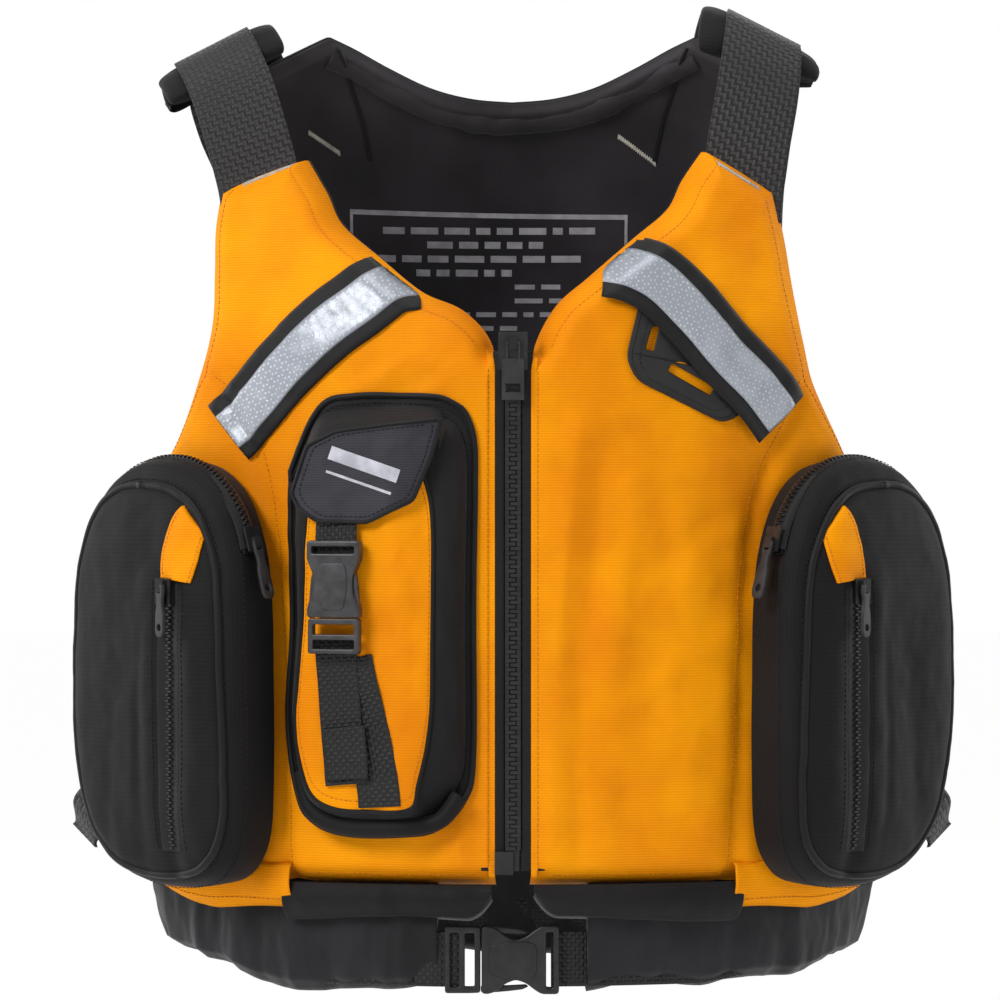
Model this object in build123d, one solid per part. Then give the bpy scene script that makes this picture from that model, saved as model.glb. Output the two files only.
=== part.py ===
from build123d import *
import os
from math import asin, atan2, cos, degrees, hypot, radians, sin, tan

# Foam-filled buoyancy vest with a full-length front zip, worn by an adult.
# Millimetres. +Z up, the front faces -Y, and +X is to the right as seen from the front.
# The origin is midway between the undersides of the two shoulder pads.

# ---- driving dimensions -------------------------------------------------------------
body_half_width = 190.0    # inside of the vest, across the chest
body_half_depth = 115.0    # inside of the vest, front to back
body_side_radius = 80.0    # plan radius of the vest's sides
liner_thickness = 2.0
foam_thickness = 31.0
shell_thickness = 1.5
layer_gap = 0.3            # clearance between soft layers and between neighbours

chest_line_z = -170.0      # above this the fronts lean back
back_line_z = -150.0       # above this the back leans forward
front_lean = 0.44          # mm back per mm up
back_lean = 0.50           # mm forward per mm up
panel_bottom_z = -498.0
zip_edge_x = 11.0          # half the gap between the two front shells
armhole_side_z = -278.0

shoulder_x = 167.0         # middle of each pad
shoulder_slope = 26.0      # degrees, down and outwards
pad_width = 74.0
pad_thickness = 10.0
pad_radius = 75.0           # arch of the pad's underside, front to back
pad_middle_y = 14.0
shoulder_webbing_width = 50.0
webbing_thickness = 1.8

gusset_depth = 45.0        # side panel, front to back
gusset_thickness = 8.0

hem_bottom_z = -518.0
waistband_bottom_z = -559.0
waistband_thickness = 7.0
waistband_opening_x = 46.0
belt_width = 32.0

tape_width = 25.0          # reflective tape
tape_edging = 9.0
tape_thickness = 0.6

pocket_turn = 45.0         # plan direction that each side pocket faces, from the side
pocket_half_width = 68.0
pocket_depth = 42.0
pocket_bottom_z = -496.0
pocket_top_z = -250.0
pocket_zip_top_z = -318.0
pocket_zip_bottom_z = -470.0
arch_zip_reach = 128.0     # how far out the arch zip lies from the side's centre line
arch_zip_start = 18.0      # degrees above level, where its slider rests

zip_bottom_z = -476.0
zip_top_z = -188.0
tooth_pitch = 5.2
tooth_height = 2.0
tooth_reach = 1.5          # how far each tooth passes the middle
zip_cord_x = 3.4

chest_pocket_x = -79.0
chest_pocket_width = 111.0
chest_pocket_top_z = -212.0
chest_pocket_bottom_z = -468.0
chest_pocket_depth = 20.0
chest_strap_x = -103.0
chest_strap_width = 25.0

mesh_safe_reach = 400.0

# ---- plan section -------------------------------------------------------------------
side_x = body_half_width - body_side_radius
half_gap = body_half_depth - body_side_radius
arc_y = (side_x ** 2 - half_gap ** 2) / (2 * half_gap)
arc_radius = body_half_depth + arc_y
join_length = hypot(side_x, arc_y)

foam_inner = liner_thickness + layer_gap
foam_outer = foam_inner + foam_thickness
shell_inner = foam_outer + layer_gap
shell_outer = shell_inner + shell_thickness
surface = shell_outer + layer_gap


def oval(offset):
    """Plan outline of the vest, grown by an offset: two side arcs and two flat arcs."""
    reach = (arc_radius + offset) / join_length
    join_x = side_x * reach
    join_y = arc_y * reach - arc_y
    side = side_x + body_side_radius + offset
    depth = body_half_depth + offset
    return make_face(
        [
            ThreePointArc((-join_x, -join_y), (0, -depth), (join_x, -join_y)),
            ThreePointArc((join_x, -join_y), (side, 0), (join_x, join_y)),
            ThreePointArc((join_x, join_y), (0, depth), (-join_x, join_y)),
            ThreePointArc((-join_x, join_y), (-side, 0), (-join_x, -join_y)),
        ]
    )


def pushed(sketch, vector):
    """A flat outline pushed straight along a vector."""
    return Solid.extrude(sketch.face(), vector)


def column(offset, low_z, top_z):
    """The whole plan section, straight up."""
    return pushed(Pos(0, 0, low_z) * oval(offset), Vector(0, 0, top_z - low_z))


def leaned(offset, low_z, bend_z, top_z, lean):
    """Straight up to bend_z, then leaning by lean along Y."""
    rise = top_z - bend_z
    lower = column(offset, low_z, bend_z)
    upper = pushed(Pos(0, 0, bend_z) * oval(offset), Vector(0, lean * rise, rise))
    return lower + upper


def front_layer(inner, outer):
    low_z, top_z = -600.0, -40.0
    whole = leaned(outer, low_z, chest_line_z, top_z, front_lean)
    return whole - leaned(inner, low_z, chest_line_z, top_z, front_lean)


def back_layer(inner, outer):
    low_z, top_z = -600.0, 40.0
    whole = leaned(outer, low_z, back_line_z, top_z, -back_lean)
    return whole - leaned(inner, low_z, back_line_z, top_z, -back_lean)


def ring(inner, outer, low_z, top_z):
    return column(outer, low_z, top_z) - column(inner, low_z, top_z)


def front_prism(lines, near_y=-mesh_safe_reach, far_y=-layer_gap):
    """An outline in X and Z, pushed through the front half."""
    return pushed(Pos(0, far_y, 0) * make_face(lines), Vector(0, near_y - far_y, 0))


def flat(x, z):
    return (x, 0, z)


def outline(points):
    """Closed outline: a pair is a corner, a triple (x, z, 'via') bends the next edge through it."""
    edges = []
    start = points[0]
    index = 1
    ring_points = points + [points[0]]
    while index < len(ring_points):
        via = None
        if len(ring_points[index]) == 3:
            via = ring_points[index][:2]
            index += 1
        end = ring_points[index]
        if via:
            edges.append(ThreePointArc(flat(*start), flat(*via), flat(*end)))
        else:
            edges.append(Line(flat(*start), flat(*end)))
        start = end
        index += 1
    return edges


def mirrored(points, side):
    """The outline for one side: side is -1 or 1, and points are given for +X."""
    return [(side * p[0], *p[1:]) for p in points]


def cut(layer, prism):
    """What the two share, as one solid."""
    return (layer & prism).solid()


def group(*solids):
    """Separate solids that share a node."""
    return Compound(children=list(solids))


def slab(low, high):
    size = [high[i] - low[i] for i in range(3)]
    middle = [(high[i] + low[i]) / 2 for i in range(3)]
    return Pos(*middle) * Box(*size)


def on_front(x, offset):
    """Plane on the flat front arc at x: its Z points out and its Y points up."""
    reach = arc_radius + offset
    turn = asin(x / reach)
    y = arc_y - reach * cos(turn)
    return Plane((x, y, 0), x_dir=(cos(turn), sin(turn), 0), z_dir=(sin(turn), -cos(turn), 0))


def on_side(side, turn, offset):
    """Plane on a side arc, turn degrees forward from the side: Z out, Y up."""
    turn = radians(turn)
    reach = body_side_radius + offset
    x = side * (side_x + reach * cos(turn))
    out = (side * cos(turn), -sin(turn), 0)
    return Plane((x, -reach * sin(turn), 0), x_dir=(sin(turn), side * cos(turn), 0), z_dir=out)


join_turn = degrees(atan2(arc_y, side_x))
parts = {}
side_names = {-1: "right", 1: "left"}

# ---- front panels -------------------------------------------------------------------
neck_foot = (18.0, -168.0)
neck_middle = (97.0, -108.0)
top_inner = (124.5, -69.5)
top_outer = (165.0, -89.0)
arm_middle = (185.0, -192.0)
arm_side = (236.0, armhole_side_z)


def front_points(edge_x, inset):
    """Front panel outline for +X, with its zip edge at edge_x and pulled in by inset."""
    return [
        (edge_x, panel_bottom_z + inset),
        (edge_x, -190.0),
        (max(edge_x, neck_foot[0]) + inset, neck_foot[1] - inset),
        (62.0, -140.0 - inset, "via"),
        (neck_middle[0], neck_middle[1] - inset),
        (112.0 + inset, -89.0 - inset, "via"),
        (top_inner[0] + inset, top_inner[1] - inset),
        (top_outer[0] - inset, top_outer[1] - inset),
        (173.0 - inset, -130.0, "via"),
        (arm_middle[0] - inset, arm_middle[1] - inset),
        (205.0 - inset, -238.0 - inset, "via"),
        (arm_side[0], arm_side[1] - inset),
        (arm_side[0], panel_bottom_z + inset),
    ]


foam_inset = 9.0
waistband_top_z = panel_bottom_z + foam_inset - layer_gap
shell_ring = front_layer(shell_inner, shell_outer)
foam_ring = front_layer(foam_inner, foam_outer)
liner_ring = front_layer(0.0, liner_thickness)
for side, name in side_names.items():
    shell_lines = outline(mirrored(front_points(zip_edge_x, 0.0), side))
    foam_lines = outline(mirrored(front_points(zip_edge_x + foam_inset, foam_inset), side))
    parts[f"front_shell_{name}"] = cut(shell_ring, front_prism(shell_lines))
    parts[f"front_foam_{name}"] = cut(foam_ring, front_prism(foam_lines))
    parts[f"front_liner_{name}"] = cut(liner_ring, front_prism(shell_lines))

# ---- back panel and side gussets ----------------------------------------------------
back_top_inner = (126.0, 11.5)
back_top_outer = (186.0, -17.8)


def back_points(inset):
    right = [
        (back_top_inner[0] + inset, back_top_inner[1] - inset),
        (back_top_outer[0] - inset, back_top_outer[1] - inset),
        (172.0 - inset, -90.0, "via"),
        (178.0 - inset, -150.0),
        (192.0 - inset, -226.0, "via"),
        (arm_side[0], armhole_side_z - inset),
        (arm_side[0], panel_bottom_z + inset),
    ]
    left = mirrored(right, -1)
    order = [6, 5, 4, 3, 2, 1, 0]
    return [left[i] for i in order] + [(0.0, -26.0 - inset, "via")] + right


def back_prism(points):
    """The outline pushed through the back, clear of the gussets below the armholes."""
    whole = pushed(Pos(0, 2.0, 0) * make_face(outline(points)), Vector(0, mesh_safe_reach, 0))
    high_y = gusset_depth + 2 * layer_gap
    return whole - slab((-300, -1, -600), (300, high_y, armhole_side_z + layer_gap))


parts["back_shell"] = cut(back_layer(shell_inner, shell_outer), back_prism(back_points(0.0)))
parts["back_foam"] = cut(back_layer(foam_inner, foam_outer), back_prism(back_points(foam_inset)))
parts["back_liner"] = cut(back_layer(0.0, liner_thickness), back_prism(back_points(0.0)))

gusset_inner = (foam_inner + foam_outer - gusset_thickness) / 2
gussets = []
for side in side_names:
    low_z = waistband_top_z + layer_gap
    wall = ring(gusset_inner, gusset_inner + gusset_thickness, low_z, armhole_side_z)
    low_x, high_x = sorted((side * 150.0, side * 260.0))
    half = slab((low_x, layer_gap, -600), (high_x, layer_gap + gusset_depth, 0))
    gussets.append(cut(wall, half))
parts["side_gussets"] = group(*gussets)

# ---- shoulders ----------------------------------------------------------------------
pad_front_turn = -28.0     # degrees either way from the crest
pad_back_turn = 28.0
webbing_turn = -34.0
webbing_foot = (146.0, -92.0)


def arch_point(radius, turn):
    """A point in Y and Z on the shoulder's arch."""
    turn = radians(turn)
    return (0, pad_middle_y + radius * sin(turn), -pad_radius + radius * cos(turn))


def shoulder_band(side, width, lift, height, start, end):
    """A band bent over the shoulder and tilted down outwards."""
    low, high, middle = pad_radius + lift, pad_radius + lift + height, (start + end) / 2
    face = make_face(
        [
            ThreePointArc(*(arch_point(low, turn) for turn in (start, middle, end))),
            Line(arch_point(low, end), arch_point(high, end)),
            ThreePointArc(*(arch_point(high, turn) for turn in (end, middle, start))),
            Line(arch_point(high, start), arch_point(low, start)),
        ]
    )
    band = pushed(Pos(-width / 2, 0, 0) * face, Vector(width, 0, 0))
    return (Pos(side * shoulder_x, 0, 0) * Rot(0, side * shoulder_slope, 0) * band).solid()


webbing_lift = pad_thickness + layer_gap
crest_turn = -degrees(asin((pad_middle_y + 1.0) / (pad_radius + webbing_lift)))
pads, rears = [], []
for side, name in side_names.items():
    width = shoulder_webbing_width
    pads.append(shoulder_band(side, pad_width, 0.0, pad_thickness, pad_front_turn, pad_back_turn))
    rears.append(
        shoulder_band(side, width, webbing_lift, webbing_thickness, crest_turn, pad_back_turn)
    )
    top = shoulder_band(
        side, width, webbing_lift, webbing_thickness, webbing_turn, crest_turn - layer_gap
    )
    middle = pad_radius + webbing_lift + webbing_thickness / 2
    slope = radians(shoulder_slope)
    _, bend_y, bend_z = arch_point(middle, webbing_turn + 1.5)
    bend = Vector(side * (shoulder_x + bend_z * sin(slope)), bend_y, bend_z * cos(slope))
    foot_x, foot_z = webbing_foot
    reach = arc_radius + surface + webbing_thickness
    foot_y = arc_y - (reach ** 2 - foot_x ** 2) ** 0.5 + front_lean * (foot_z - chest_line_z)
    foot = Vector(side * foot_x, foot_y - 1.2, foot_z)
    along = (bend - foot).normalized()
    across = Vector(side * cos(slope), 0.30, -sin(slope) * 0.45)
    across = (across - along * across.dot(along)).normalized()
    run = Plane(origin=(bend + foot) * 0.5, x_dir=across, z_dir=along)
    run_length = (bend - foot).length
    parts[f"front_webbing_{name}"] = (top + run * Box(width, webbing_thickness, run_length)).solid()
parts["shoulder_pads"] = group(*pads)
parts["rear_webbing"] = group(*rears)

# ---- hem and waistband --------------------------------------------------------------
waist_inner = 10.0
waist_outer = waist_inner + waistband_thickness
belt_inner = waist_inner + (waistband_thickness - webbing_thickness) / 2
belt_z = -541.0
channel_grow = 0.4


def half_box(side, inner_x, front):
    low_x, high_x = sorted((side * inner_x, side * mesh_safe_reach))
    if front:
        return slab((low_x, -mesh_safe_reach, -700), (high_x, -layer_gap, 100))
    return slab((low_x, layer_gap, -700), (high_x, mesh_safe_reach, 100))


hem_ring = ring(shell_inner, shell_outer, hem_bottom_z, panel_bottom_z - layer_gap)
waist_ring = ring(waist_inner, waist_outer, waistband_bottom_z, waistband_top_z)
waist_ring = waist_ring - ring(
    belt_inner - channel_grow,
    belt_inner + webbing_thickness + channel_grow,
    belt_z - belt_width / 2 - channel_grow,
    belt_z + belt_width / 2 + channel_grow,
)
belt_ring = ring(
    belt_inner,
    belt_inner + webbing_thickness,
    belt_z - belt_width / 2,
    belt_z + belt_width / 2,
)
for side, name in side_names.items():
    parts[f"hem_{name}"] = cut(hem_ring, half_box(side, zip_edge_x, True))
    parts[f"waistband_{name}"] = cut(waist_ring, half_box(side, waistband_opening_x, True))
waist_joint_x = -17.0       # where the two halves of the waist buckle meet
waist_female_length = 44.0
waist_ladder_length = 24.0
buckle_gap = 0.4
belt_inner_x = {
    -1: buckle_gap + waist_ladder_length - waist_joint_x + layer_gap,
    1: waist_female_length + waist_joint_x + layer_gap,
}
for side, name in side_names.items():
    parts[f"belt_{name}"] = cut(belt_ring, half_box(side, belt_inner_x[side], True))
back_half = slab((-mesh_safe_reach, layer_gap, -700), (mesh_safe_reach, mesh_safe_reach, 100))
parts["waistband_back"] = cut(waist_ring, back_half)
parts["belt_back"] = cut(belt_ring, back_half)

# ---- main zip -----------------------------------------------------------------------
zip_layer = shell_inner - layer_gap
tape_ring = ring(zip_layer - 1.0, zip_layer, zip_bottom_z, zip_top_z + 14)
for side, name in side_names.items():
    low_x, high_x = sorted((side * (zip_cord_x + 1.4), side * (zip_edge_x + foam_inset - 1.0)))
    strip = slab((low_x, -200, -600), (high_x, -100, 0))
    parts[f"zip_tape_{name}"] = cut(tape_ring, strip)

tooth_y = -(body_half_depth + zip_layer - 0.5)
slider_length = 22.0
slider_width = 17.0
slider_height = 7.2
slider_z = zip_top_z + 2.0
tooth_count = int((zip_top_z - 6.0 - zip_bottom_z) / tooth_pitch)
for side, name in side_names.items():
    start_z = zip_bottom_z + (tooth_pitch / 2 if side > 0 else 0)
    low_x, high_x = sorted((side * 2.2, side * (zip_cord_x + 1.1)))
    top_z = start_z + (tooth_count - 1) * tooth_pitch + tooth_height
    rack = slab((low_x, tooth_y - 1.0, zip_bottom_z), (high_x, tooth_y + 1.0, top_z))
    for i in range(tooth_count):
        low_x, high_x = sorted((-side * tooth_reach, side * (zip_cord_x + 1.1)))
        z = start_z + i * tooth_pitch
        rack += slab((low_x, tooth_y - 1.8, z), (high_x, tooth_y + 1.8, z + tooth_height))
    if side > 0:
        rack += slab((0.6, tooth_y - 1.0, zip_bottom_z - 12.0), (3.6, tooth_y + 1.0, zip_bottom_z))
    parts[f"zip_teeth_{name}"] = rack.solid()


def slider_body(length, width, height):
    """Slider: two plates joined by a wedge at the head, Z out, Y up, centred on the chain."""
    plate = 1.4
    top = Pos(0, 0, height / 2 - plate / 2) * Box(width, length, plate)
    bottom = Pos(0, 0, -height / 2 + plate / 2) * Box(width, length, plate)
    wedge = Pos(0, length / 2 - 2.0, 0) * Box(2.4, 4.0, height)
    lug_y = length * 0.2
    lug = Pos(0, lug_y, height / 2 + 1.4) * Box(5.0, 7.0, 3.2)
    hole = Pos(0, lug_y, height / 2 + 1.6) * Rot(0, 90, 0) * Cylinder(1.15, 9.0)
    body = top + bottom + wedge + lug - hole
    return body.solid(), lug_y, height / 2 + 1.6


def pull_tab(length, width, lug_y, lug_z, hole_size, round_hole):
    """Pull: an axle through the lug, two arms and a flat tab that hangs down."""
    thickness = 2.0
    axle = Pos(0, lug_y, lug_z) * Rot(0, 90, 0) * Cylinder(1.0, 8.4)
    arm_length = 9.0
    arms = None
    for s in (-1, 1):
        arm = Pos(s * 3.6, lug_y - arm_length / 2, lug_z) * Box(1.2, arm_length + 2, thickness)
        arms = arm if arms is None else arms + arm
    tab_y = lug_y - arm_length - length / 2
    tab = Pos(0, tab_y, lug_z) * Box(width, length, thickness)
    end_y = tab_y - length / 2 + hole_size
    if round_hole:
        tab -= Pos(0, end_y + 1.0, lug_z) * Cylinder(hole_size / 2, 6)
    else:
        tab -= Pos(0, end_y + 2.0, lug_z) * Box(width * 0.66, hole_size, 6)
    return (axle + arms + tab).solid()


main_plane = Plane((0, tooth_y, slider_z), x_dir=(1, 0, 0), z_dir=(0, -1, 0))
body, lug_y, lug_z = slider_body(slider_length, slider_width, slider_height)
parts["main_slider"] = main_plane * body
parts["main_pull"] = main_plane * pull_tab(24.0, 13.0, lug_y, lug_z, 5.0, False)

box_low = zip_bottom_z - 14.0
parts["zip_box"] = slab((-10.6, tooth_y - 3.2, box_low), (0.2, tooth_y + 2.4, box_low + 13.4))

# ---- reflective tapes and lash tab --------------------------------------------------
band_middle = (112.0, -164.0)
band_slope = 46.0           # degrees, down and outwards
band_end_x = 163.0
tab_thickness = 2.0
edging_thickness = 1.2


def band_points(half_width, trim):
    """A straight band across the chest, from the neckline to the armhole's seam."""
    fall = tan(radians(band_slope))
    rise = half_width / cos(radians(band_slope))
    z_at = lambda x: band_middle[1] - fall * (x - band_middle[0])
    start_x = 30.0
    top_x, low_x = band_end_x + 0.5 * half_width - trim, band_end_x - 0.5 * half_width - trim
    return [
        (start_x, z_at(start_x) - rise),
        (start_x, z_at(start_x) + rise),
        (top_x, z_at(top_x) + rise),
        (low_x, z_at(low_x) - rise),
    ]


tab_points = [
    (76.0, -150.0),
    (66.0, -190.0),
    (72.0, -203.0),
    (124.0, -228.0),
    (136.0, -222.0),
    (140.0, -204.0),
    (112.0, -160.0),
]
for side, name in side_names.items():
    low = surface + (tab_thickness + layer_gap if side > 0 else 0.0)
    high = low + edging_thickness
    inside = front_prism(outline(mirrored(front_points(zip_edge_x, 1.0), side)))
    wide = front_prism(outline(mirrored(band_points(tape_width / 2 + tape_edging, 0.0), side)))
    narrow = front_prism(outline(mirrored(band_points(tape_width / 2, 1.0), side)))
    parts[f"tape_edging_{name}"] = cut(front_layer(low, high), wide & inside)
    parts[f"reflective_tape_{name}"] = cut(
        front_layer(high + layer_gap, high + layer_gap + tape_thickness), narrow & inside
    )

tab = front_layer(surface, surface + tab_thickness) & front_prism(outline(tab_points))
for x, z, turn in ((84.0, -178.0, -64.0), (106.0, -212.0, 27.0)):
    tab -= Pos(x, -150, z) * Rot(0, turn, 0) * Box(15, 120, 4.2)
parts["lash_tab"] = tab.solid()

# ---- chest pocket -------------------------------------------------------------------
half = chest_pocket_width / 2
left_x, right_x = chest_pocket_x - half, chest_pocket_x + half
pocket_back_points = [
    (left_x + 4, chest_pocket_bottom_z + 24),
    (left_x, chest_pocket_top_z - 40),
    (left_x + 20, chest_pocket_top_z - 4),
    (right_x - 8, chest_pocket_top_z),
    (right_x, chest_pocket_top_z - 16),
    (right_x, chest_pocket_bottom_z + 22),
    (right_x - 22, chest_pocket_bottom_z),
    (left_x + 26, chest_pocket_bottom_z),
]
chest_back_outer = surface + 1.8
chest_body_inner = chest_back_outer + layer_gap
chest_body_outer = chest_body_inner + chest_pocket_depth
chest_flap_inner = chest_body_outer + layer_gap
chest_flap_outer = chest_flap_inner + 2.4
chest_body_points = [
    (left_x + 12, chest_pocket_bottom_z + 22),
    (left_x + 8, chest_pocket_top_z - 36),
    (left_x + 20, chest_pocket_top_z - 18),
    (right_x - 6, chest_pocket_top_z - 18),
    (right_x - 6, chest_pocket_bottom_z + 26),
    (right_x - 26, chest_pocket_bottom_z + 12),
    (left_x + 26, chest_pocket_bottom_z + 12),
]
flap_points = [
    (-128, -268),
    (-119, -242),
    (-103, -230),
    (-42, -222),
    (-56, -272),
    (-84, -285),
    (-112, -284),
]


def arc_layer(inner, outer):
    return ring(inner, outer, -600.0, -180.0)


parts["chest_pocket_back"] = cut(
    arc_layer(surface, chest_back_outer), front_prism(outline(pocket_back_points))
)
parts["chest_pocket"] = cut(
    arc_layer(chest_body_inner, chest_body_outer), front_prism(outline(chest_body_points))
)
parts["chest_flap"] = cut(
    arc_layer(chest_flap_inner, chest_flap_outer), front_prism(outline(flap_points))
)

strap_base = chest_body_outer + layer_gap
chest_plane = on_front(chest_strap_x, strap_base)
strap_half = chest_strap_width / 2
flap_strap_z = (-299.0, -284.9)
parts["flap_strap"] = chest_plane * slab(
    (-strap_half, flap_strap_z[0], 1.0), (strap_half, flap_strap_z[1], 1.0 + webbing_thickness)
)


def side_release(width, female_length, ladder_length, height):
    """Buckle lying along Y: the female half above 0, the male half below it, prongs inside."""
    wall = 2.0
    female = Pos(0, female_length / 2, 0) * Box(width, female_length, height)
    pocket = Pos(0, female_length * 0.36, 0) * Box(
        width - 2 * wall, female_length * 0.72, height - 2 * wall
    )
    windows = [
        Pos(s * width / 2, female_length * 0.42, 0) * Box(2 * wall + 3, female_length * 0.36, 4.4)
        for s in (-1, 1)
    ]
    bar_slot = Pos(0, female_length * 0.86, 0) * Box(width - 5.0, 3.4, height + 2)
    female = female - pocket - windows[0] - windows[1] - bar_slot
    ladder = Pos(0, -buckle_gap - ladder_length / 2, 0) * Box(width, ladder_length, height * 0.7)
    for step in (0.36, 0.74):
        ladder -= Pos(0, -ladder_length * step, 0) * Box(width - 6.0, 3.4, height)
    prong_height = height - 2 * wall - 2.0
    prong_length = female_length * 0.6
    male = ladder
    for x, wide in ((-width / 2 + 6.0, 3.0), (0, 3.0), (width / 2 - 6.0, 3.0)):
        male += Pos(x, prong_length / 2 - 1.0, 0) * Box(wide, prong_length, prong_height)
    return female.solid(), male.solid()


buckle_height = 8.0
chest_buckle_plane = on_front(chest_strap_x, strap_base + buckle_height / 2 + 3.2)
female, male = side_release(31.0, 44.0, 21.0, buckle_height)
chest_joint_z = -340.0
parts["chest_buckle_female"] = chest_buckle_plane * (Pos(0, chest_joint_z, 0) * female)
parts["chest_buckle_male"] = chest_buckle_plane * (Pos(0, chest_joint_z, 0) * male)
parts["chest_strap"] = chest_plane * slab(
    (-strap_half, -452.0, 0.2), (strap_half, -366.0, 0.2 + 2 * webbing_thickness)
)

waist_plane = Plane(
    (waist_joint_x, -(body_half_depth + belt_inner + webbing_thickness / 2), belt_z),
    x_dir=(0, 0, -1),
    z_dir=(0, -1, 0),
)
female, male = side_release(40.0, waist_female_length, waist_ladder_length, 9.0)
parts["waist_buckle_female"] = waist_plane * female
parts["waist_buckle_male"] = waist_plane * male

# ---- side pockets -------------------------------------------------------------------
pocket_inner = surface
pocket_outer = pocket_inner + pocket_depth
arch_z = pocket_top_z - pocket_half_width
pocket_ring = ring(pocket_inner, pocket_outer, -600.0, -200.0)


def pocket_plane(side):
    """Origin on the side arc's centre line, Z along the way the pocket faces, Y up."""
    turn = radians(pocket_turn)
    return Plane(
        (side * side_x, 0, 0),
        x_dir=(sin(turn), side * cos(turn), 0),
        z_dir=(side * cos(turn), -sin(turn), 0),
    )


def pocket_outline(grow):
    w = pocket_half_width + grow
    low = pocket_bottom_z - grow
    corner = 14.0
    edges = [
        ThreePointArc((-w, arch_z), (0, arch_z + w), (w, arch_z)),
        Line((w, arch_z), (w, low + corner)),
        Line((w, low + corner), (w - corner, low)),
        Line((w - corner, low), (-w + corner, low)),
        Line((-w + corner, low), (-w, low + corner)),
        Line((-w, low + corner), (-w, arch_z)),
    ]
    return make_face(edges)


def small_slider():
    return slider_body(15.0, 11.0, 6.0)


chain_width = 5.0
chain_height = 2.2
zip_stand = 0.3
for side, name in side_names.items():
    plane = pocket_plane(side)
    prism = pushed(pocket_outline(0), Vector(0, 0, 260))
    body = plane * prism
    parts[f"side_pocket_{name}"] = cut(pocket_ring, body)

    # straight zip down the face
    slider_centre = pocket_outer + zip_stand + 3.0
    face_plane = on_side(side, join_turn, slider_centre)
    slider, lug_y, lug_z = small_slider()
    slider_at = Pos(0, pocket_zip_top_z - 8.0, 0)
    parts[f"face_slider_{name}"] = face_plane * (slider_at * slider)
    parts[f"face_pull_{name}"] = face_plane * (
        slider_at * pull_tab(20.0, 9.0, lug_y, lug_z, 4.0, True)
    )
    chain = slab(
        (-chain_width / 2, pocket_zip_bottom_z, -chain_height / 2),
        (chain_width / 2, pocket_zip_top_z - 10.0, chain_height / 2),
    )

    # tab that covers the top of that zip
    cover_plane = on_side(side, join_turn, pocket_outer + zip_stand)
    cover = Pos(0, -286.0, 0.8) * Box(22.0, 36.0, 1.6)
    parts[f"pocket_tab_{name}"] = cover_plane * cover

    # curved zip round the arch
    arch_radius = pocket_half_width + zip_stand + 3.0
    arcs = [
        CenterArc((0, arch_z), arch_radius + grow, arch_zip_start + 4, 174 - arch_zip_start)
        for grow in (chain_height / 2, -chain_height / 2)
    ]
    ends = [Line(arcs[0] @ end, arcs[1] @ end) for end in (0, 1)]
    low = Pos(0, 0, arch_zip_reach - chain_width / 2)
    arch_chain = pushed(low * make_face(arcs + ends), Vector(0, 0, chain_width))
    front_sign = -side
    if front_sign < 0:
        arch_chain = arch_chain.mirror(Plane.YZ)
    parts[f"pocket_zips_{name}"] = group(face_plane * chain, plane * arch_chain)

    start = radians(arch_zip_start)
    out = Vector(front_sign * cos(start), sin(start), 0)
    travel = Vector(-front_sign * sin(start), cos(start), 0)
    local = Plane(
        (out.X * arch_radius, arch_z + out.Y * arch_radius, arch_zip_reach),
        x_dir=travel.cross(out),
        z_dir=out,
    )
    slider, lug_y, lug_z = small_slider()
    flip = Rot(0, 0, 180)
    parts[f"arch_slider_{name}"] = plane * (local * (flip * slider))
    hang = pull_tab(26.0, 9.0, -lug_y, lug_z, 4.0, True)
    parts[f"arch_pull_{name}"] = plane * (local * hang)

# ---- side adjusters -----------------------------------------------------------------
strap_z = -458.0
strap_width = 38.0
adjuster_turn = -19.5
adjuster_length = 20.0
adjuster_depth = 7.0
tail_length = 36.0
straps, adjusters = [], []
for side in side_names:
    low_z, high_z = strap_z - strap_width / 2, strap_z + strap_width / 2
    low_x, high_x = sorted((side * 120.0, side * 280.0))
    side_reach = body_side_radius + surface
    start_y = side_reach * sin(radians(-adjuster_turn)) + adjuster_length / 2
    reach = slab((low_x, start_y, -600), (high_x, 130.0, 0))
    straps.append(cut(ring(surface, surface + webbing_thickness, low_z, high_z), reach))
    plane = on_side(side, adjuster_turn, surface)
    frame_width = strap_width + 8.0
    adjuster = Pos(0, strap_z, adjuster_depth / 2) * Box(adjuster_length, frame_width, adjuster_depth)
    for x in (-4.5, 4.5):
        adjuster -= Pos(x, strap_z, adjuster_depth / 2) * Box(3.4, strap_width + 1, 20)
    adjusters.append((plane * adjuster).solid())
    tail_z = adjuster_depth + layer_gap + tail_length / 2
    tail = Pos(0, strap_z - 2.0, tail_z) * Box(webbing_thickness, strap_width, tail_length)
    straps.append((plane * tail).solid())
parts["side_straps"] = group(*straps)
parts["side_adjusters"] = group(*adjusters)

os.makedirs("parts", exist_ok=True)
for name, part in parts.items():
    export_step(part, f"parts/{name}.step")
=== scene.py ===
import math

import bmesh
import bpy
import numpy as np
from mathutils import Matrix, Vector, noise
from mathutils.bvhtree import BVHTree


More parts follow.
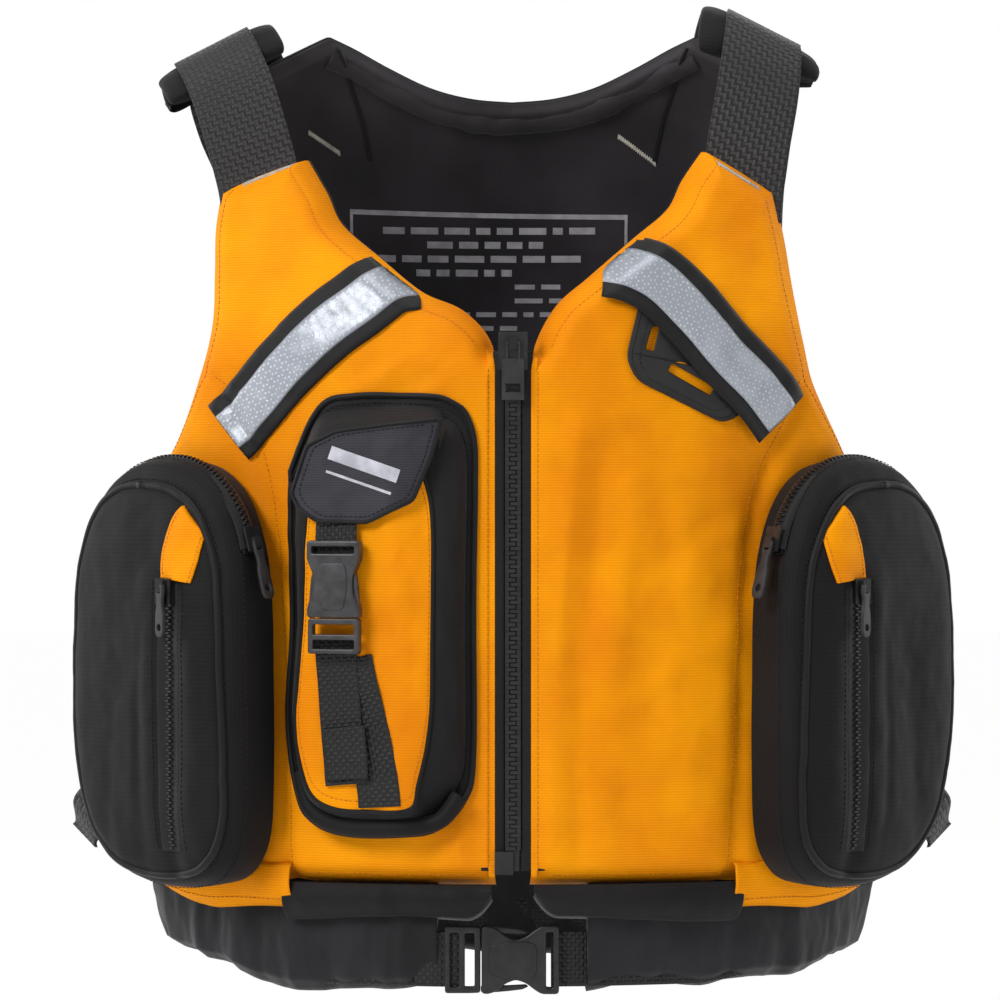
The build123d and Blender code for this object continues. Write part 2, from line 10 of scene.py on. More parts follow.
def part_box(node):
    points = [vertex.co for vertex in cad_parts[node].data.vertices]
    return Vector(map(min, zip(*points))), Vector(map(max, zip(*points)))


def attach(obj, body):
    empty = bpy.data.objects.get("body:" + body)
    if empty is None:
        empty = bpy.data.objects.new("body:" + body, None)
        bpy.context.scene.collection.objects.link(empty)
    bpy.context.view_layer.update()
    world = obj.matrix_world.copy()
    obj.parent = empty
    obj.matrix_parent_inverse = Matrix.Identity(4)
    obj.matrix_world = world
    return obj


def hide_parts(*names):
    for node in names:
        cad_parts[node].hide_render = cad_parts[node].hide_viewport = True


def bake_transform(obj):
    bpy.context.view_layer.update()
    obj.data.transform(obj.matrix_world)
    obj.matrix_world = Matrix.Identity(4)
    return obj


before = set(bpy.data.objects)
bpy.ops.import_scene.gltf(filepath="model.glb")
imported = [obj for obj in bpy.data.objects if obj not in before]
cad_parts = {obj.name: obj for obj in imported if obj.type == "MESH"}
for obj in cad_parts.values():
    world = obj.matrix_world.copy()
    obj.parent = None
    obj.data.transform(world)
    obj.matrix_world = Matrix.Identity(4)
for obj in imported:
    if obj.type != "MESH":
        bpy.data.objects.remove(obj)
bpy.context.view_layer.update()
mm = 0.001

# the vest's plan section, in mm, as the frame has it
torso = {
    "halfWidth": 190.0,
    "halfDepth": 115.0,
    "sideRadius": 80.0,
    "shellDepth": 35.0,  # outer face of the shell, from the inner face of the lining
    "chestLine": -170.0,
    "backLine": -150.0,
    "frontLean": 0.44,
    "backLean": 0.50,
    "leanBlend": 30.0,  # how softly the lean starts
}
sideX = torso["halfWidth"] - torso["sideRadius"]
halfGap = torso["halfDepth"] - torso["sideRadius"]
arcY = (sideX**2 - halfGap**2) / (2 * halfGap)
arcRadius = torso["halfDepth"] + arcY
joinAngle = math.atan2(sideX, arcY)
flatLength = (arcRadius + torso["shellDepth"]) * joinAngle
sideLength = (torso["sideRadius"] + torso["shellDepth"]) * (math.pi / 2 - joinAngle)
quarterLength = flatLength + sideLength


def wrap(s, z, depth, back=False):
    # distance round the chest, height and depth become a place in mm
    s, z, depth = np.broadcast_arrays(*(np.asarray(a, float) for a in (s, z, depth)))
    a = np.abs(s)
    flat = a <= flatLength
    beyond = (a - flatLength) / (torso["sideRadius"] + torso["shellDepth"])
    turn = np.where(flat, a / (arcRadius + torso["shellDepth"]), joinAngle + beyond)
    reach = np.where(flat, arcRadius, torso["sideRadius"]) + depth
    x = np.where(flat, 0, sideX) + reach * np.sin(turn)
    y = np.where(flat, arcY, 0) - reach * np.cos(turn)
    line = torso["backLine"] if back else torso["chestLine"]
    over, soft = z - line, torso["leanBlend"]
    rise = (over + np.sqrt(over**2 + soft**2)) / 2 - soft * 0.25
    y = y + (torso["backLean"] if back else torso["frontLean"]) * np.maximum(rise, 0)
    if back:
        y = -y
    return np.stack([x * np.where(s < 0, -1, 1), y, z], -1)


def roundAt(x):
    # distance round the chest of a point x mm from the middle, on the shell
    flatX = (arcRadius + torso["shellDepth"]) * math.sin(joinAngle)
    a = min(abs(x), sideX + torso["sideRadius"] + torso["shellDepth"])
    if a <= flatX:
        s = (arcRadius + torso["shellDepth"]) * math.asin(a / (arcRadius + torso["shellDepth"]))
    else:
        reach = torso["sideRadius"] + torso["shellDepth"]
        s = flatLength + reach * (math.asin((a - sideX) / reach) - joinAngle)
    return math.copysign(s, x)


def unit(v):
    v = np.asarray(v, float)
    return v / np.maximum(np.linalg.norm(v, axis=-1, keepdims=True), 1e-9)


def runOf(line):
    # distance travelled along a line at each of its points
    return np.concatenate([[0], np.cumsum(np.linalg.norm(np.diff(line, axis=0), axis=1))])


def looped(line):
    return np.concatenate([line, line[:1]])


def pairs(a, b):
    # two sets of numbers side by side, as flat places
    return np.stack(np.broadcast_arrays(a, b), -1)


def onPlane(a, b):
    return np.stack([a, b, a * 0], -1)


def smoothCurve(keys, count):
    # a smooth line through a few chosen points
    keys = np.array(keys, float)
    t = np.linspace(0, len(keys) - 1, count)
    i = np.clip(t.astype(int), 0, len(keys) - 2)
    f = (t - i)[:, None]
    p0, p1 = keys[np.maximum(i - 1, 0)], keys[i]
    p2, p3 = keys[i + 1], keys[np.minimum(i + 2, len(keys) - 1)]
    return 0.5 * (2 * p1 + (p2 - p0) * f + (2 * p0 - 5 * p1 + 4 * p2 - p3) * f**2
        + (3 * p1 - p0 - 3 * p2 + p3) * f**3)


def chestLine(keys, count):
    # the same, with the first number of each point measured from the middle and laid round the chest
    return smoothCurve([(roundAt(x), z) for x, z in keys], count)


def crowded(count, bias=0.8):
    # 0 to 1 with the steps closer together near both ends
    t = np.linspace(0, 1, count)
    return t - bias * np.sin(2 * math.pi * t) / (2 * math.pi)


def wobble(points, scale, seed, octaves=3):
    # smooth noise at each place, about -1 to 1
    flatPoints = np.asarray(points, float).reshape(-1, 3) / scale
    shift = Vector((seed * 7.13, seed * 3.7, seed * 5.9))
    values = [noise.fractal(Vector(p) + shift, 1.0, 2.0, octaves) for p in flatPoints]
    return np.array(values).reshape(np.asarray(points).shape[:-1])


# materials, each from procedural nodes


def addNode(tree, kind, **settings):
    made = tree.nodes.new(kind)
    for key, value in settings.items():
        if key in made.inputs:
            made.inputs[key].default_value = value
        else:
            setattr(made, key, value)
    return made


def startMaterial(name, roughness, sheen=0.0, coat=0.0, specular=0.5):
    material = bpy.data.materials.new(name)
    material.use_nodes = True
    tree = material.node_tree
    shader = tree.nodes["Principled BSDF"]
    shader.inputs["Roughness"].default_value = roughness
    shader.inputs["Sheen Weight"].default_value = sheen
    shader.inputs["Coat Weight"].default_value = coat
    shader.inputs["Specular IOR Level"].default_value = specular
    return material, tree, shader


def linear(rgb):
    return tuple((c / 12.92 if c <= 0.04045 else ((c + 0.055) / 1.055) ** 2.4) for c in rgb) + (1,)


def shades(tree, dark, light, source, low=0.3, high=0.7):
    ramp = addNode(tree, "ShaderNodeValToRGB")
    ramp.color_ramp.elements[0].position = low
    ramp.color_ramp.elements[1].position = high
    ramp.color_ramp.elements[0].color = linear(dark)
    ramp.color_ramp.elements[1].color = linear(light)
    tree.links.new(source, ramp.inputs["Fac"])
    return ramp.outputs["Color"]


def wave(tree, coordinate, period, direction, distortion=0.0):
    made = addNode(tree, "ShaderNodeTexWave", wave_type="BANDS", bands_direction=direction)
    made.inputs["Scale"].default_value = 0.314 / (period * mm)
    made.inputs["Distortion"].default_value = distortion
    made.inputs["Detail"].default_value = 1.0
    tree.links.new(coordinate, made.inputs["Vector"])
    return made.outputs["Fac"]


def math2(tree, operation, a, b):
    made = addNode(tree, "ShaderNodeMath", operation=operation)
    for socket, value in zip(made.inputs, (a, b)):
        if isinstance(value, (int, float)):
            socket.default_value = value
        else:
            tree.links.new(value, socket)
    return made.outputs["Value"]


def bump(tree, shader, height, distance, strength=1.0, under=None):
    made = addNode(tree, "ShaderNodeBump")
    made.inputs["Strength"].default_value = strength
    made.inputs["Distance"].default_value = distance * mm
    tree.links.new(height, made.inputs["Height"])
    if under:
        tree.links.new(under, made.inputs["Normal"])
    tree.links.new(made.outputs["Normal"], shader.inputs["Normal"])
    return made.outputs["Normal"]


def noiseNode(tree, coordinate, scale, detail=3.0):
    made = addNode(tree, "ShaderNodeTexNoise")
    made.inputs["Scale"].default_value = scale
    made.inputs["Detail"].default_value = detail
    tree.links.new(coordinate, made.inputs["Vector"])
    return made.outputs["Fac"]


def ribbedCloth(name, dark, light, rib, across="Y", roughness=0.62, sheen=0.15, crease=0.5, fine=None,
        specular=0.22):
    # woven cloth with a rib, soft colour variation and small creases
    material, tree, shader = startMaterial(name, roughness, sheen=sheen, specular=specular)
    shader.inputs["Sheen Roughness"].default_value = 0.5
    place = addNode(tree, "ShaderNodeTexCoord")
    uv, spot = place.outputs["UV"], place.outputs["Object"]
    ribs = wave(tree, uv, rib, across, 0.6)
    other = wave(tree, uv, fine or rib * 0.6, "X" if across == "Y" else "Y", 0.4)
    weave = math2(tree, "ADD", math2(tree, "MULTIPLY", ribs, 0.7), math2(tree, "MULTIPLY", other, 0.3))
    cloud = noiseNode(tree, spot, 14.0, 4.0)
    mixed = math2(tree, "ADD", math2(tree, "MULTIPLY", cloud, 0.8),
        math2(tree, "MULTIPLY", weave, 0.22))
    colour = shades(tree, dark, light, mixed, 0.36, 0.68)
    tree.links.new(colour, shader.inputs["Base Color"])
    creases = noiseNode(tree, spot, 55.0, 5.0)
    normal = bump(tree, shader, creases, crease, 0.5)
    bump(tree, shader, weave, 0.16, 0.6, normal)
    rough = addNode(tree, "ShaderNodeMapRange")
    rough.inputs["To Min"].default_value = roughness - 0.08
    rough.inputs["To Max"].default_value = roughness + 0.1
    tree.links.new(cloud, rough.inputs["Value"])
    tree.links.new(rough.outputs["Result"], shader.inputs["Roughness"])
    return material


def webbingCloth(name, dark, light, yarn):
    # coarse basket weave of flat yarns, over and under in turn
    material, tree, shader = startMaterial(name, 0.55, sheen=0.08, specular=0.4)
    place = addNode(tree, "ShaderNodeTexCoord")
    uv = place.outputs["UV"]
    along, across = wave(tree, uv, yarn, "Y"), wave(tree, uv, yarn, "X")
    checks = addNode(tree, "ShaderNodeTexChecker")
    checks.inputs["Scale"].default_value = 2 / (yarn * 2 * mm)
    checks.inputs["Color1"].default_value = (1, 1, 1, 1)
    checks.inputs["Color2"].default_value = (0, 0, 0, 1)
    tree.links.new(uv, checks.inputs["Vector"])
    pick = addNode(tree, "ShaderNodeMix", data_type="FLOAT")
    tree.links.new(checks.outputs["Fac"], pick.inputs[0])
    tree.links.new(along, pick.inputs[2])
    tree.links.new(across, pick.inputs[3])
    height = pick.outputs[0]
    grain = noiseNode(tree, place.outputs["Object"], 900.0, 2.0)
    mixed = math2(tree, "ADD", math2(tree, "MULTIPLY", height, 0.75),
        math2(tree, "MULTIPLY", grain, 0.3))
    tree.links.new(shades(tree, dark, light, mixed, 0.15, 0.95), shader.inputs["Base Color"])
    bump(tree, shader, height, 0.7, 0.9)
    return material


def mouldedPlastic(name, dark, light, roughness=0.38, grain=0.08, coat=0.0):
    # satin plastic with fine moulding grain and scuffs
    material, tree, shader = startMaterial(name, roughness, coat=coat, specular=0.5)
    place = addNode(tree, "ShaderNodeTexCoord")
    spot = place.outputs["Object"]
    scuff = noiseNode(tree, spot, 120.0, 6.0)
    tree.links.new(shades(tree, dark, light, scuff, 0.35, 0.75), shader.inputs["Base Color"])
    fine = noiseNode(tree, spot, 2600.0, 2.0)
    bump(tree, shader, fine, grain, 0.5)
    rough = addNode(tree, "ShaderNodeMapRange")
    rough.inputs["To Min"].default_value = roughness - 0.1
    rough.inputs["To Max"].default_value = roughness + 0.16
    tree.links.new(scuff, rough.inputs["Value"])
    tree.links.new(rough.outputs["Result"], shader.inputs["Roughness"])
    return material


def honeycombTape(name):
    # silver tape: hexagon cells with paler welds between them
    material, tree, shader = startMaterial(name, 0.3, specular=0.4)
    shader.inputs["Metallic"].default_value = 0.12
    place = addNode(tree, "ShaderNodeTexCoord")
    uv = place.outputs["UV"]
    cell = 4.6 * mm
    total = None
    for k in range(3):
        turn = math.radians(60 * k + 30)
        pull = 4 * math.pi / (math.sqrt(3) * cell)
        dot = addNode(tree, "ShaderNodeVectorMath", operation="DOT_PRODUCT")
        dot.inputs[1].default_value = (pull * math.cos(turn), pull * math.sin(turn), 0)
        tree.links.new(uv, dot.inputs[0])
        cosine = math2(tree, "COSINE", dot.outputs["Value"], 0.0)
        total = cosine if total is None else math2(tree, "ADD", total, cosine)
    edge = addNode(tree, "ShaderNodeMapRange")
    edge.inputs["From Min"].default_value = -1.36
    edge.inputs["From Max"].default_value = -1.08
    tree.links.new(total, edge.inputs["Value"])
    cloud = noiseNode(tree, place.outputs["Object"], 30.0, 3.0)
    shade = math2(tree, "ADD", math2(tree, "MULTIPLY", edge.outputs["Result"], -0.55), cloud)
    colour = shades(tree, (0.6, 0.62, 0.655), (0.8, 0.81, 0.83), shade, -0.05, 0.62)
    tree.links.new(colour, shader.inputs["Base Color"])
    crumple = bump(tree, shader, noiseNode(tree, place.outputs["Object"], 90.0, 4.0), 1.2, 0.5)
    bump(tree, shader, edge.outputs["Result"], -0.25, 0.5, crumple)
    return material


orange = ribbedCloth("orangeCloth", (0.86, 0.49, 0.0), (0.96, 0.615, 0.0), 1.5, "Y", 0.68, 0.0, 0.7,
    specular=0.1)
black = ribbedCloth("blackCloth", (0.045, 0.04, 0.043), (0.1, 0.092, 0.097), 1.6, "Y", 0.66, 0.06, 0.9)
pocketBlack = ribbedCloth("pocketCloth", (0.02, 0.017, 0.018), (0.07, 0.062, 0.064), 2.6, "Y", 0.7,
    0.05, 1.0, 1.2)
lining = ribbedCloth("liningCloth", (0.105, 0.094, 0.104), (0.2, 0.184, 0.2), 0.8, "X", 0.45, 0.12, 0.6)
charcoal = ribbedCloth("charcoalCloth", (0.065, 0.067, 0.077), (0.14, 0.142, 0.158), 1.2, "X", 0.62,
    0.15, 0.8)
flapCloth = ribbedCloth("flapCloth", (0.13, 0.13, 0.152), (0.215, 0.215, 0.243), 1.5, "Y", 0.62, 0.12,
    0.5)
wideWebbing = webbingCloth("wideWebbing", (0.022, 0.02, 0.021), (0.175, 0.163, 0.168), 3.4)
narrowWebbing = webbingCloth("narrowWebbing", (0.014, 0.013, 0.013), (0.12, 0.11, 0.108), 2.3)
tapeSilver = honeycombTape("honeycombTape")
edgingBlack = ribbedCloth("edgingCloth", (0.045, 0.043, 0.046), (0.095, 0.09, 0.094), 1.0, "Y", 0.55,
    0.08, 0.3)
buckleGrey = mouldedPlastic("bucklePlastic", (0.15, 0.15, 0.157), (0.25, 0.25, 0.26), 0.34)
zipBlack = mouldedPlastic("zipPlastic", (0.06, 0.06, 0.062), (0.13, 0.13, 0.135), 0.4)
sliderBlack = mouldedPlastic("sliderPaint", (0.07, 0.07, 0.075), (0.15, 0.15, 0.16), 0.3, 0.03, 0.2)
pullRubber = mouldedPlastic("pullRubber", (0.09, 0.088, 0.09), (0.17, 0.165, 0.17), 0.55, 0.15)
tabRubber = mouldedPlastic("tabRubber", (0.05, 0.05, 0.05), (0.11, 0.11, 0.11), 0.6, 0.12)
threadOrange = mouldedPlastic("orangeThread", (0.72, 0.42, 0.02), (0.86, 0.53, 0.04), 0.8)
threadBlack = mouldedPlastic("blackThread", (0.03, 0.03, 0.03), (0.1, 0.1, 0.1), 0.8)
threadPale = mouldedPlastic("paleThread", (0.62, 0.6, 0.56), (0.82, 0.8, 0.76), 0.8)
printWhite = mouldedPlastic("printWhite", (0.55, 0.54, 0.56), (0.68, 0.67, 0.69), 0.6)
printSilver = mouldedPlastic("printSilver", (0.62, 0.62, 0.66), (0.78, 0.78, 0.82), 0.4)
print("materials made")


# mesh makers


def showPiece(name, points, faces, material, body, nodes=(), slot=None, uvs=None, smooth=True):
    mesh = bpy.data.meshes.new(name)
    mesh.from_pydata([tuple(p * mm for p in point) for point in points], [], faces)
    if uvs is not None:
        layer = mesh.uv_layers.new(name="cloth")
        index = np.zeros(len(mesh.loops), int)
        mesh.loops.foreach_get("vertex_index", index)
        layer.data.foreach_set("uv", (np.asarray(uvs)[index] * mm).ravel())
    mesh.materials.append(material)
    mesh.polygons.foreach_set("use_smooth", [smooth] * len(mesh.polygons))
    mesh.update()
    piece = bpy.data.objects.new(name, mesh)
    bpy.context.collection.objects.link(piece)
    if isinstance(body, str):
        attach(piece, body)
    if nodes:
        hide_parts(*nodes)
    return piece


def gridFaces(rows, columns, flip=False, closed=False):
    faces = []
    wide = columns if closed else columns - 1
    for r in range(rows - 1):
        for c in range(wide):
            d = (c + 1) % columns
            face = (r * columns + c, r * columns + d, (r + 1) * columns + d, (r + 1) * columns + c)
            faces.append(face[::-1] if flip else face)
    return faces


def cappedFaces(rows, columns):
    last = (rows - 1) * columns
    ends = [tuple(range(columns))[::-1], tuple(range(last, last + columns))]
    return gridFaces(rows, columns, closed=True) + ends


def gridPiece(name, points, uv, material, body, flip=False, **rest):
    rows, columns = points.shape[:2]
    return showPiece(name, points.reshape(-1, 3), gridFaces(rows, columns, flip), material, body,
        uvs=uv.reshape(-1, 2), **rest)


def thicken(piece, amount, offset=-1.0):
    made = piece.modifiers.new("thick", "SOLIDIFY")
    made.thickness = amount * mm
    made.offset = offset
    return made


def ribbonMesh(name, line, across, normals, width, thickness, material, body, **rest):
    # a flat strap along a line: across and normals are unit vectors at each point
    line, across, normals = (np.asarray(a, float) for a in (line, across, normals))
    run = runOf(line)
    edge, half = thickness * 0.5, width / 2
    section = [
        (-half, 0), (-half + 0.25, edge * 0.9), (-half + 1.2, edge), (-half * 0.5, edge), (0, edge),
        (half * 0.5, edge), (half - 1.2, edge), (half - 0.25, edge * 0.9), (half, 0),
        (half - 0.25, -edge * 0.9), (half - 1.2, -edge), (0, -edge), (-half + 1.2, -edge),
        (-half + 0.25, -edge * 0.9),
    ]
    columns = len(section)
    points = np.zeros((len(line), columns, 3))
    uv = np.zeros((len(line), columns, 2))
    for k, (u, h) in enumerate(section):
        points[:, k] = line + across * u + normals * h
        uv[:, k, 0] = u
        uv[:, k, 1] = run
    return showPiece(name, points.reshape(-1, 3), cappedFaces(len(line), columns), material, body,
        uvs=uv.reshape(-1, 2), **rest)


def tubeMesh(name, lines, radius, material, body, sides=6, **rest):
    # thin round tubes along several lines, joined in one piece
    points, faces = [], []
    for line in lines:
        line = np.asarray(line, float)
        ahead = unit(np.gradient(line, axis=0))
        helper = np.array([0.31, 0.87, 0.37])
        a = unit(np.cross(ahead, helper))
        b = np.cross(ahead, a)
        start = len(points)
        for i in range(len(line)):
            for k in range(sides):
                t = 2 * math.pi * k / sides
                points.append(line[i] + radius * (a[i] * math.cos(t) + b[i] * math.sin(t)))
        for face in cappedFaces(len(line), sides):
            faces.append(tuple(start + f for f in face))
    return showPiece(name, points, faces, material, body, **rest)


def along(line, spacing, length):
    # short dashes on a line, for a row of stitches
    line = np.asarray(line, float)
    run = runOf(line)
    dashes = []
    for start in np.arange(spacing / 2, run[-1] - length, spacing):
        at = np.linspace(start, start + length, 3)
        dashes.append(np.stack([np.interp(at, run, line[:, k]) for k in range(3)], 1))
    return dashes


def stitchRow(name, lines, thread, body, spacing=3.3, length=2.1, radius=0.27):
    # a row of stitches along each of several lines
    dashes = [dash for line in lines for dash in along(line, spacing, length)]
    tubeMesh(name, dashes, radius, thread, body, sides=4)


def clothSheet(cut):
    # cut is the piece's flat pattern in mm, as a grid or as its rim; it is not used
    cut = np.asarray(cut, float)


# what lies on a piece is laid on its real surface, by a ray from outside
seats = {}


def keepSeat(key, piece):
    graph = bpy.context.evaluated_depsgraph_get()
    seats[key] = BVHTree.FromObject(piece, graph)


def castOnto(key, outer, inner, lift, missed):
    # where rays from the outer to the inner places meet a piece, then back out by the lift
    shape = outer.shape
    outer, inner, lift = outer.reshape(-1, 3), inner.reshape(-1, 3), lift.reshape(-1)
    found = np.zeros_like(outer)
    for i, (o, n) in enumerate(zip(outer, inner)):
        ray = Vector((n - o) * mm)
        long = ray.length
        ray.normalize()
        hit = seats[key].ray_cast(Vector(o * mm), ray, long)[0]
        at = missed(o, n) if hit is None else np.array(hit) / mm
        found[i] = at - np.array(ray) * lift[i]
    return found.reshape(shape)


def layOn(key, s, z, lift, back=False, hold=0.0):
    # hold is how far the seat itself stands off the shell; with the lift it keeps x as it was meant
    s, z, lift = np.broadcast_arrays(*(np.asarray(a, float) for a in (s, z, lift)))
    shellRadius = arcRadius + torso["shellDepth"]
    if not back:
        s = s * shellRadius / (shellRadius + lift + hold)

    def overEdge(o, n):
        return np.array(seats[key].find_nearest(Vector((n + (o - n) * 0.25) * mm))[0]) / mm

    return castOnto(key, wrap(s, z, 120.0, back), wrap(s, z, 0.0, back), lift, overEdge)


def softCorners(points, radius, steps=5, share=0.45):
    # a closed outline with its corners rounded
    points = [np.array(p, float) for p in points]
    made = []
    for i, b in enumerate(points):
        a, c = points[i - 1], points[(i + 1) % len(points)]
        near = min(radius, share * np.linalg.norm(b - a), share * np.linalg.norm(c - b))
        p, q = b + unit(a - b) * near, b + unit(c - b) * near
        for t in np.linspace(0, 1, steps):
            made.append((1 - t) ** 2 * p + 2 * t * (1 - t) * b + t**2 * q)
    return [tuple(p) for p in made]


def wallDistance(s, z, outline):
    # how far each place is from the nearest edge of its panel
    flatPlaces = np.stack([s, z], -1).reshape(-1, 2)
    best = np.full(len(flatPlaces), 1e9)
    for a, b in zip(outline[:-1], outline[1:]):
        d = b - a
        long = max(float(d @ d), 1e-9)
        t = np.clip(((flatPlaces - a) @ d) / long, 0, 1)
        best = np.minimum(best, np.linalg.norm(flatPlaces - a - t[:, None] * d, axis=1))
    return best.reshape(s.shape)


def rounded(t, radius):
    f = np.clip(np.asarray(t, float) / radius, 0, 1)
    return np.sqrt(1 - (1 - f) ** 2)


def hollow(distance, width):
    return np.exp(-((np.asarray(distance, float) / width) ** 2))


# the two fronts

fronts = {
    "rows": 150,
    "columns": 110,
    "edgeDepth": 3.0,
    "fullDepth": 34.0,
    "roll": 17.0,
    "zipDepth": 33.2,
    "zipRoll": 3.5,
    "zipEdge": 10.6,
    "neckFoot": -186.0,  # above this height the inner edge is neckline, and below it zip
    # inner edge from the hem to the shoulder, and outer edge level with it
    "inner": {
        -1: [
            (10.6, -498), (10.6, -420), (10.6, -345), (10.6, -275), (10.6, -222), (12, -184),
            (30, -162), (57, -150), (84, -129), (108, -109), (118, -90), (131, -69),
        ],
        1: [
            (10.6, -498), (10.6, -420), (10.6, -345), (10.6, -275), (10.6, -222), (12, -188),
            (26, -160), (48, -141), (76, -118), (98, -100), (108, -82), (121, -64),
        ],
    },
    "outer": {
        -1: [
            (225, -498), (225, -440), (225, -385), (225, -330), (225, -292), (221, -264), (206, -232),
            (192, -197), (184, -168), (183, -138), (183, -110), (179, -84),
        ],
        1: [
            (225, -498), (225, -440), (225, -385), (225, -330), (225, -290), (214, -258), (204, -240),
            (185, -205), (177, -178), (170, -146), (165, -116), (159, -87),
        ],
    },
    # folds: where from, across and up, slope, height and width
    "fans": {
        -1: [
            (90, -205, -0.5, 1.6, 7), (120, -300, 0.4, 1.5, 8), (100, -480, 0.15, 1.3, 7),
            (60, -205, -0.8, -1.2, 6),
        ],
        1: [
            (75, -262, 0.35, 1.9, 8), (95, -300, 0.5, -1.7, 8), (60, -345, 0.25, 1.5, 9),
            (105, -370, 0.6, 1.6, 9), (85, -430, -0.35, 1.7, 9), (60, -470, -0.2, -1.5, 7),
            (112, -455, -0.5, 1.4, 8), (50, -232, 0.6, 1.4, 6),
        ],
    },
    # seam from the armhole down beside the pocket
    "seam": {
        -1: [
            (182, -199), (173, -206), (158, -228), (149, -252), (142, -290), (139, -345), (135, -420),
            (133, -498),
        ],
        1: [
            (174, -201), (163, -228), (152, -250), (145, -270), (138, -310), (136, -360), (133, -430),
            (130, -498),
        ],
    },
}


def frontLines(side):
    inner = [(roundAt(x), z) for x, z in fronts["inner"][side]]
    outer = [(roundAt(x), z) for x, z in fronts["outer"][side]]
    inner = smoothCurve(inner, 240)
    outer = smoothCurve(outer, 240)
    inner[:, 0] = np.maximum(inner[:, 0], fronts["zipEdge"])
    outer[:, 0] = np.minimum(outer[:, 0], quarterLength - 0.3)
    return inner, outer


def frontGrid(side, rows, columns):
    inner, outer = frontLines(side)
    up = crowded(rows, 0.7) * (len(inner) - 1)
    k = np.arange(len(inner))
    left = np.stack([np.interp(up, k, inner[:, i]) for i in range(2)], 1)
    right = np.stack([np.interp(up, k, outer[:, i]) for i in range(2)], 1)
    over = crowded(columns, 0.75)[None, :, None]
    places = left[:, None, :] * (1 - over) + right[:, None, :] * over
    return places[..., 0], places[..., 1], inner, outer


def seamLine(side, count=60):
    return chestLine(fronts["seam"][side], count)


def frontDepth(side, s, z, inner, outer):
    # rolled at the edges, sewn down along the seam, and softly folded elsewhere
    neck = inner[inner[:, 1] > fronts["neckFoot"]]
    zipSide = inner[inner[:, 1] <= fronts["neckFoot"]]
    toNeck = wallDistance(s, z, neck)
    toArm = wallDistance(s, z, outer)
    toTop = wallDistance(s, z, np.array([inner[-1], outer[-1]]))
    toFoot = wallDistance(s, z, np.array([inner[0], outer[0]]))
    toZip = wallDistance(s, z, zipSide)
    edge, full = fronts["edgeDepth"], fronts["fullDepth"]
    nearest = np.minimum(np.minimum(toNeck, toArm), np.minimum(toTop, toFoot))
    depth = edge + (full - edge) * rounded(nearest, fronts["roll"])
    zipPull = fronts["zipDepth"] - 1.6 + (full + 0.6 - fronts["zipDepth"] + 1.6) * rounded(toZip, 12)
    depth = np.minimum(depth, np.where(z < fronts["neckFoot"], np.maximum(zipPull, 0), depth))
    atZip = toZip < fronts["zipRoll"]
    depth = np.where(atZip & (z < -190) & (toFoot > 6), fronts["zipDepth"], depth)
    depth -= 3.0 * hollow(wallDistance(s, z, seamLine(side)), 4.5)
    depth -= 0.9 * hollow(nearest - 7.0, 2.2) * (nearest < 14)
    soft = np.clip(nearest / 25, 0, 1) * np.clip(toZip / 20, 0, 1)
    places = onPlane(s * side, z)
    stretched = places * np.array([1.0, 0.35, 1.0])
    depth += soft * (2.7 * wobble(stretched, 60, 3 + side) + 1.1 * wobble(places, 24, 8 + side))
    # soft folds fanning out from the side of the chest
    for k, (fromS, fromZ, slope, high, wide) in enumerate(fronts["fans"][side]):
        off = (z - fromZ) - slope * (s - fromS) - 4 * np.sin(s / 23.0 + k)
        reachOut = np.clip((s - fromS + 50) / 40, 0, 1) * np.clip((fromS + 55 - s) / 40, 0, 1)
        depth += soft * high * hollow(off, wide) * reachOut
    # long upright folds beside the zip, fading upwards
    for at, high, wide in ((30, 1.9, 6), (47, -1.6, 7), (66, 1.3, 8)):
        bend = at + 6 * np.sin((z + 300) / 70.0) + (z + 330) * 0.03 * side
        depth += soft * high * hollow(s - bend, wide) * np.clip((-215 - z) / 60, 0, 1)
    return depth


for side, name in ((-1, "right"), (1, "left")):
    s, z, inner, outer = frontGrid(side, fronts["rows"], fronts["columns"])
    depth = frontDepth(side, s, z, inner, outer)
    over = np.linspace(0, 1, fronts["columns"])[None, :]
    spread = (arcRadius + torso["shellDepth"]) / (arcRadius + depth) - 1
    wide = s * (1 + spread * (0.4 + 0.6 * over) * np.clip((z + 300) / 50, 0, 1))
    points = wrap(wide * side, z, depth)
    uv = np.stack([s, z], -1)
    shell = gridPiece(f"orangeFront_{name}", points, uv, orange, f"front_{name}", flip=side < 0,
        nodes=(f"front_shell_{name}", f"front_foam_{name}"), slot="orange_shell")
    keepSeat(name, shell)
    # the lining turns up to the shell's edge all round
    toZip = wallDistance(s, z, inner[inner[:, 1] <= fronts["neckFoot"]])
    inside = 1.2 + 30.0 * (1 - rounded(toZip, 5.0)) * (z < -188)
    inside = np.where(toZip > 5, 1.2 + 0.5 * np.abs(wobble(onPlane(s, z), 30, 5)), inside)
    backPoints = wrap(wide * side, z, np.minimum(inside, depth - 0.2))
    liner = gridPiece(f"liningFront_{name}", backPoints, uv, lining, f"front_{name}", flip=side > 0,
        nodes=(f"front_liner_{name}",), slot="liner_fabric")
    clothSheet(uv)
print("fronts made")


# back: shell outside, lining inside, with a soft roll at the neck

backs = {
    "rows": 130,
    "columns": 150,
    "roll": 18.0,
    "fullDepth": 34.5,
    "bottom": -498.0,
    "neck": [(0, -26), (28, -24), (56, -18), (84, -7), (108, 4), (126, 11)],
    "side": [
        (224, -498), (224, -420), (224, -340), (223, -280), (208, -240), (194, -200), (182, -155),
        (178, -110), (180, -60), (186, -18),
    ],
}


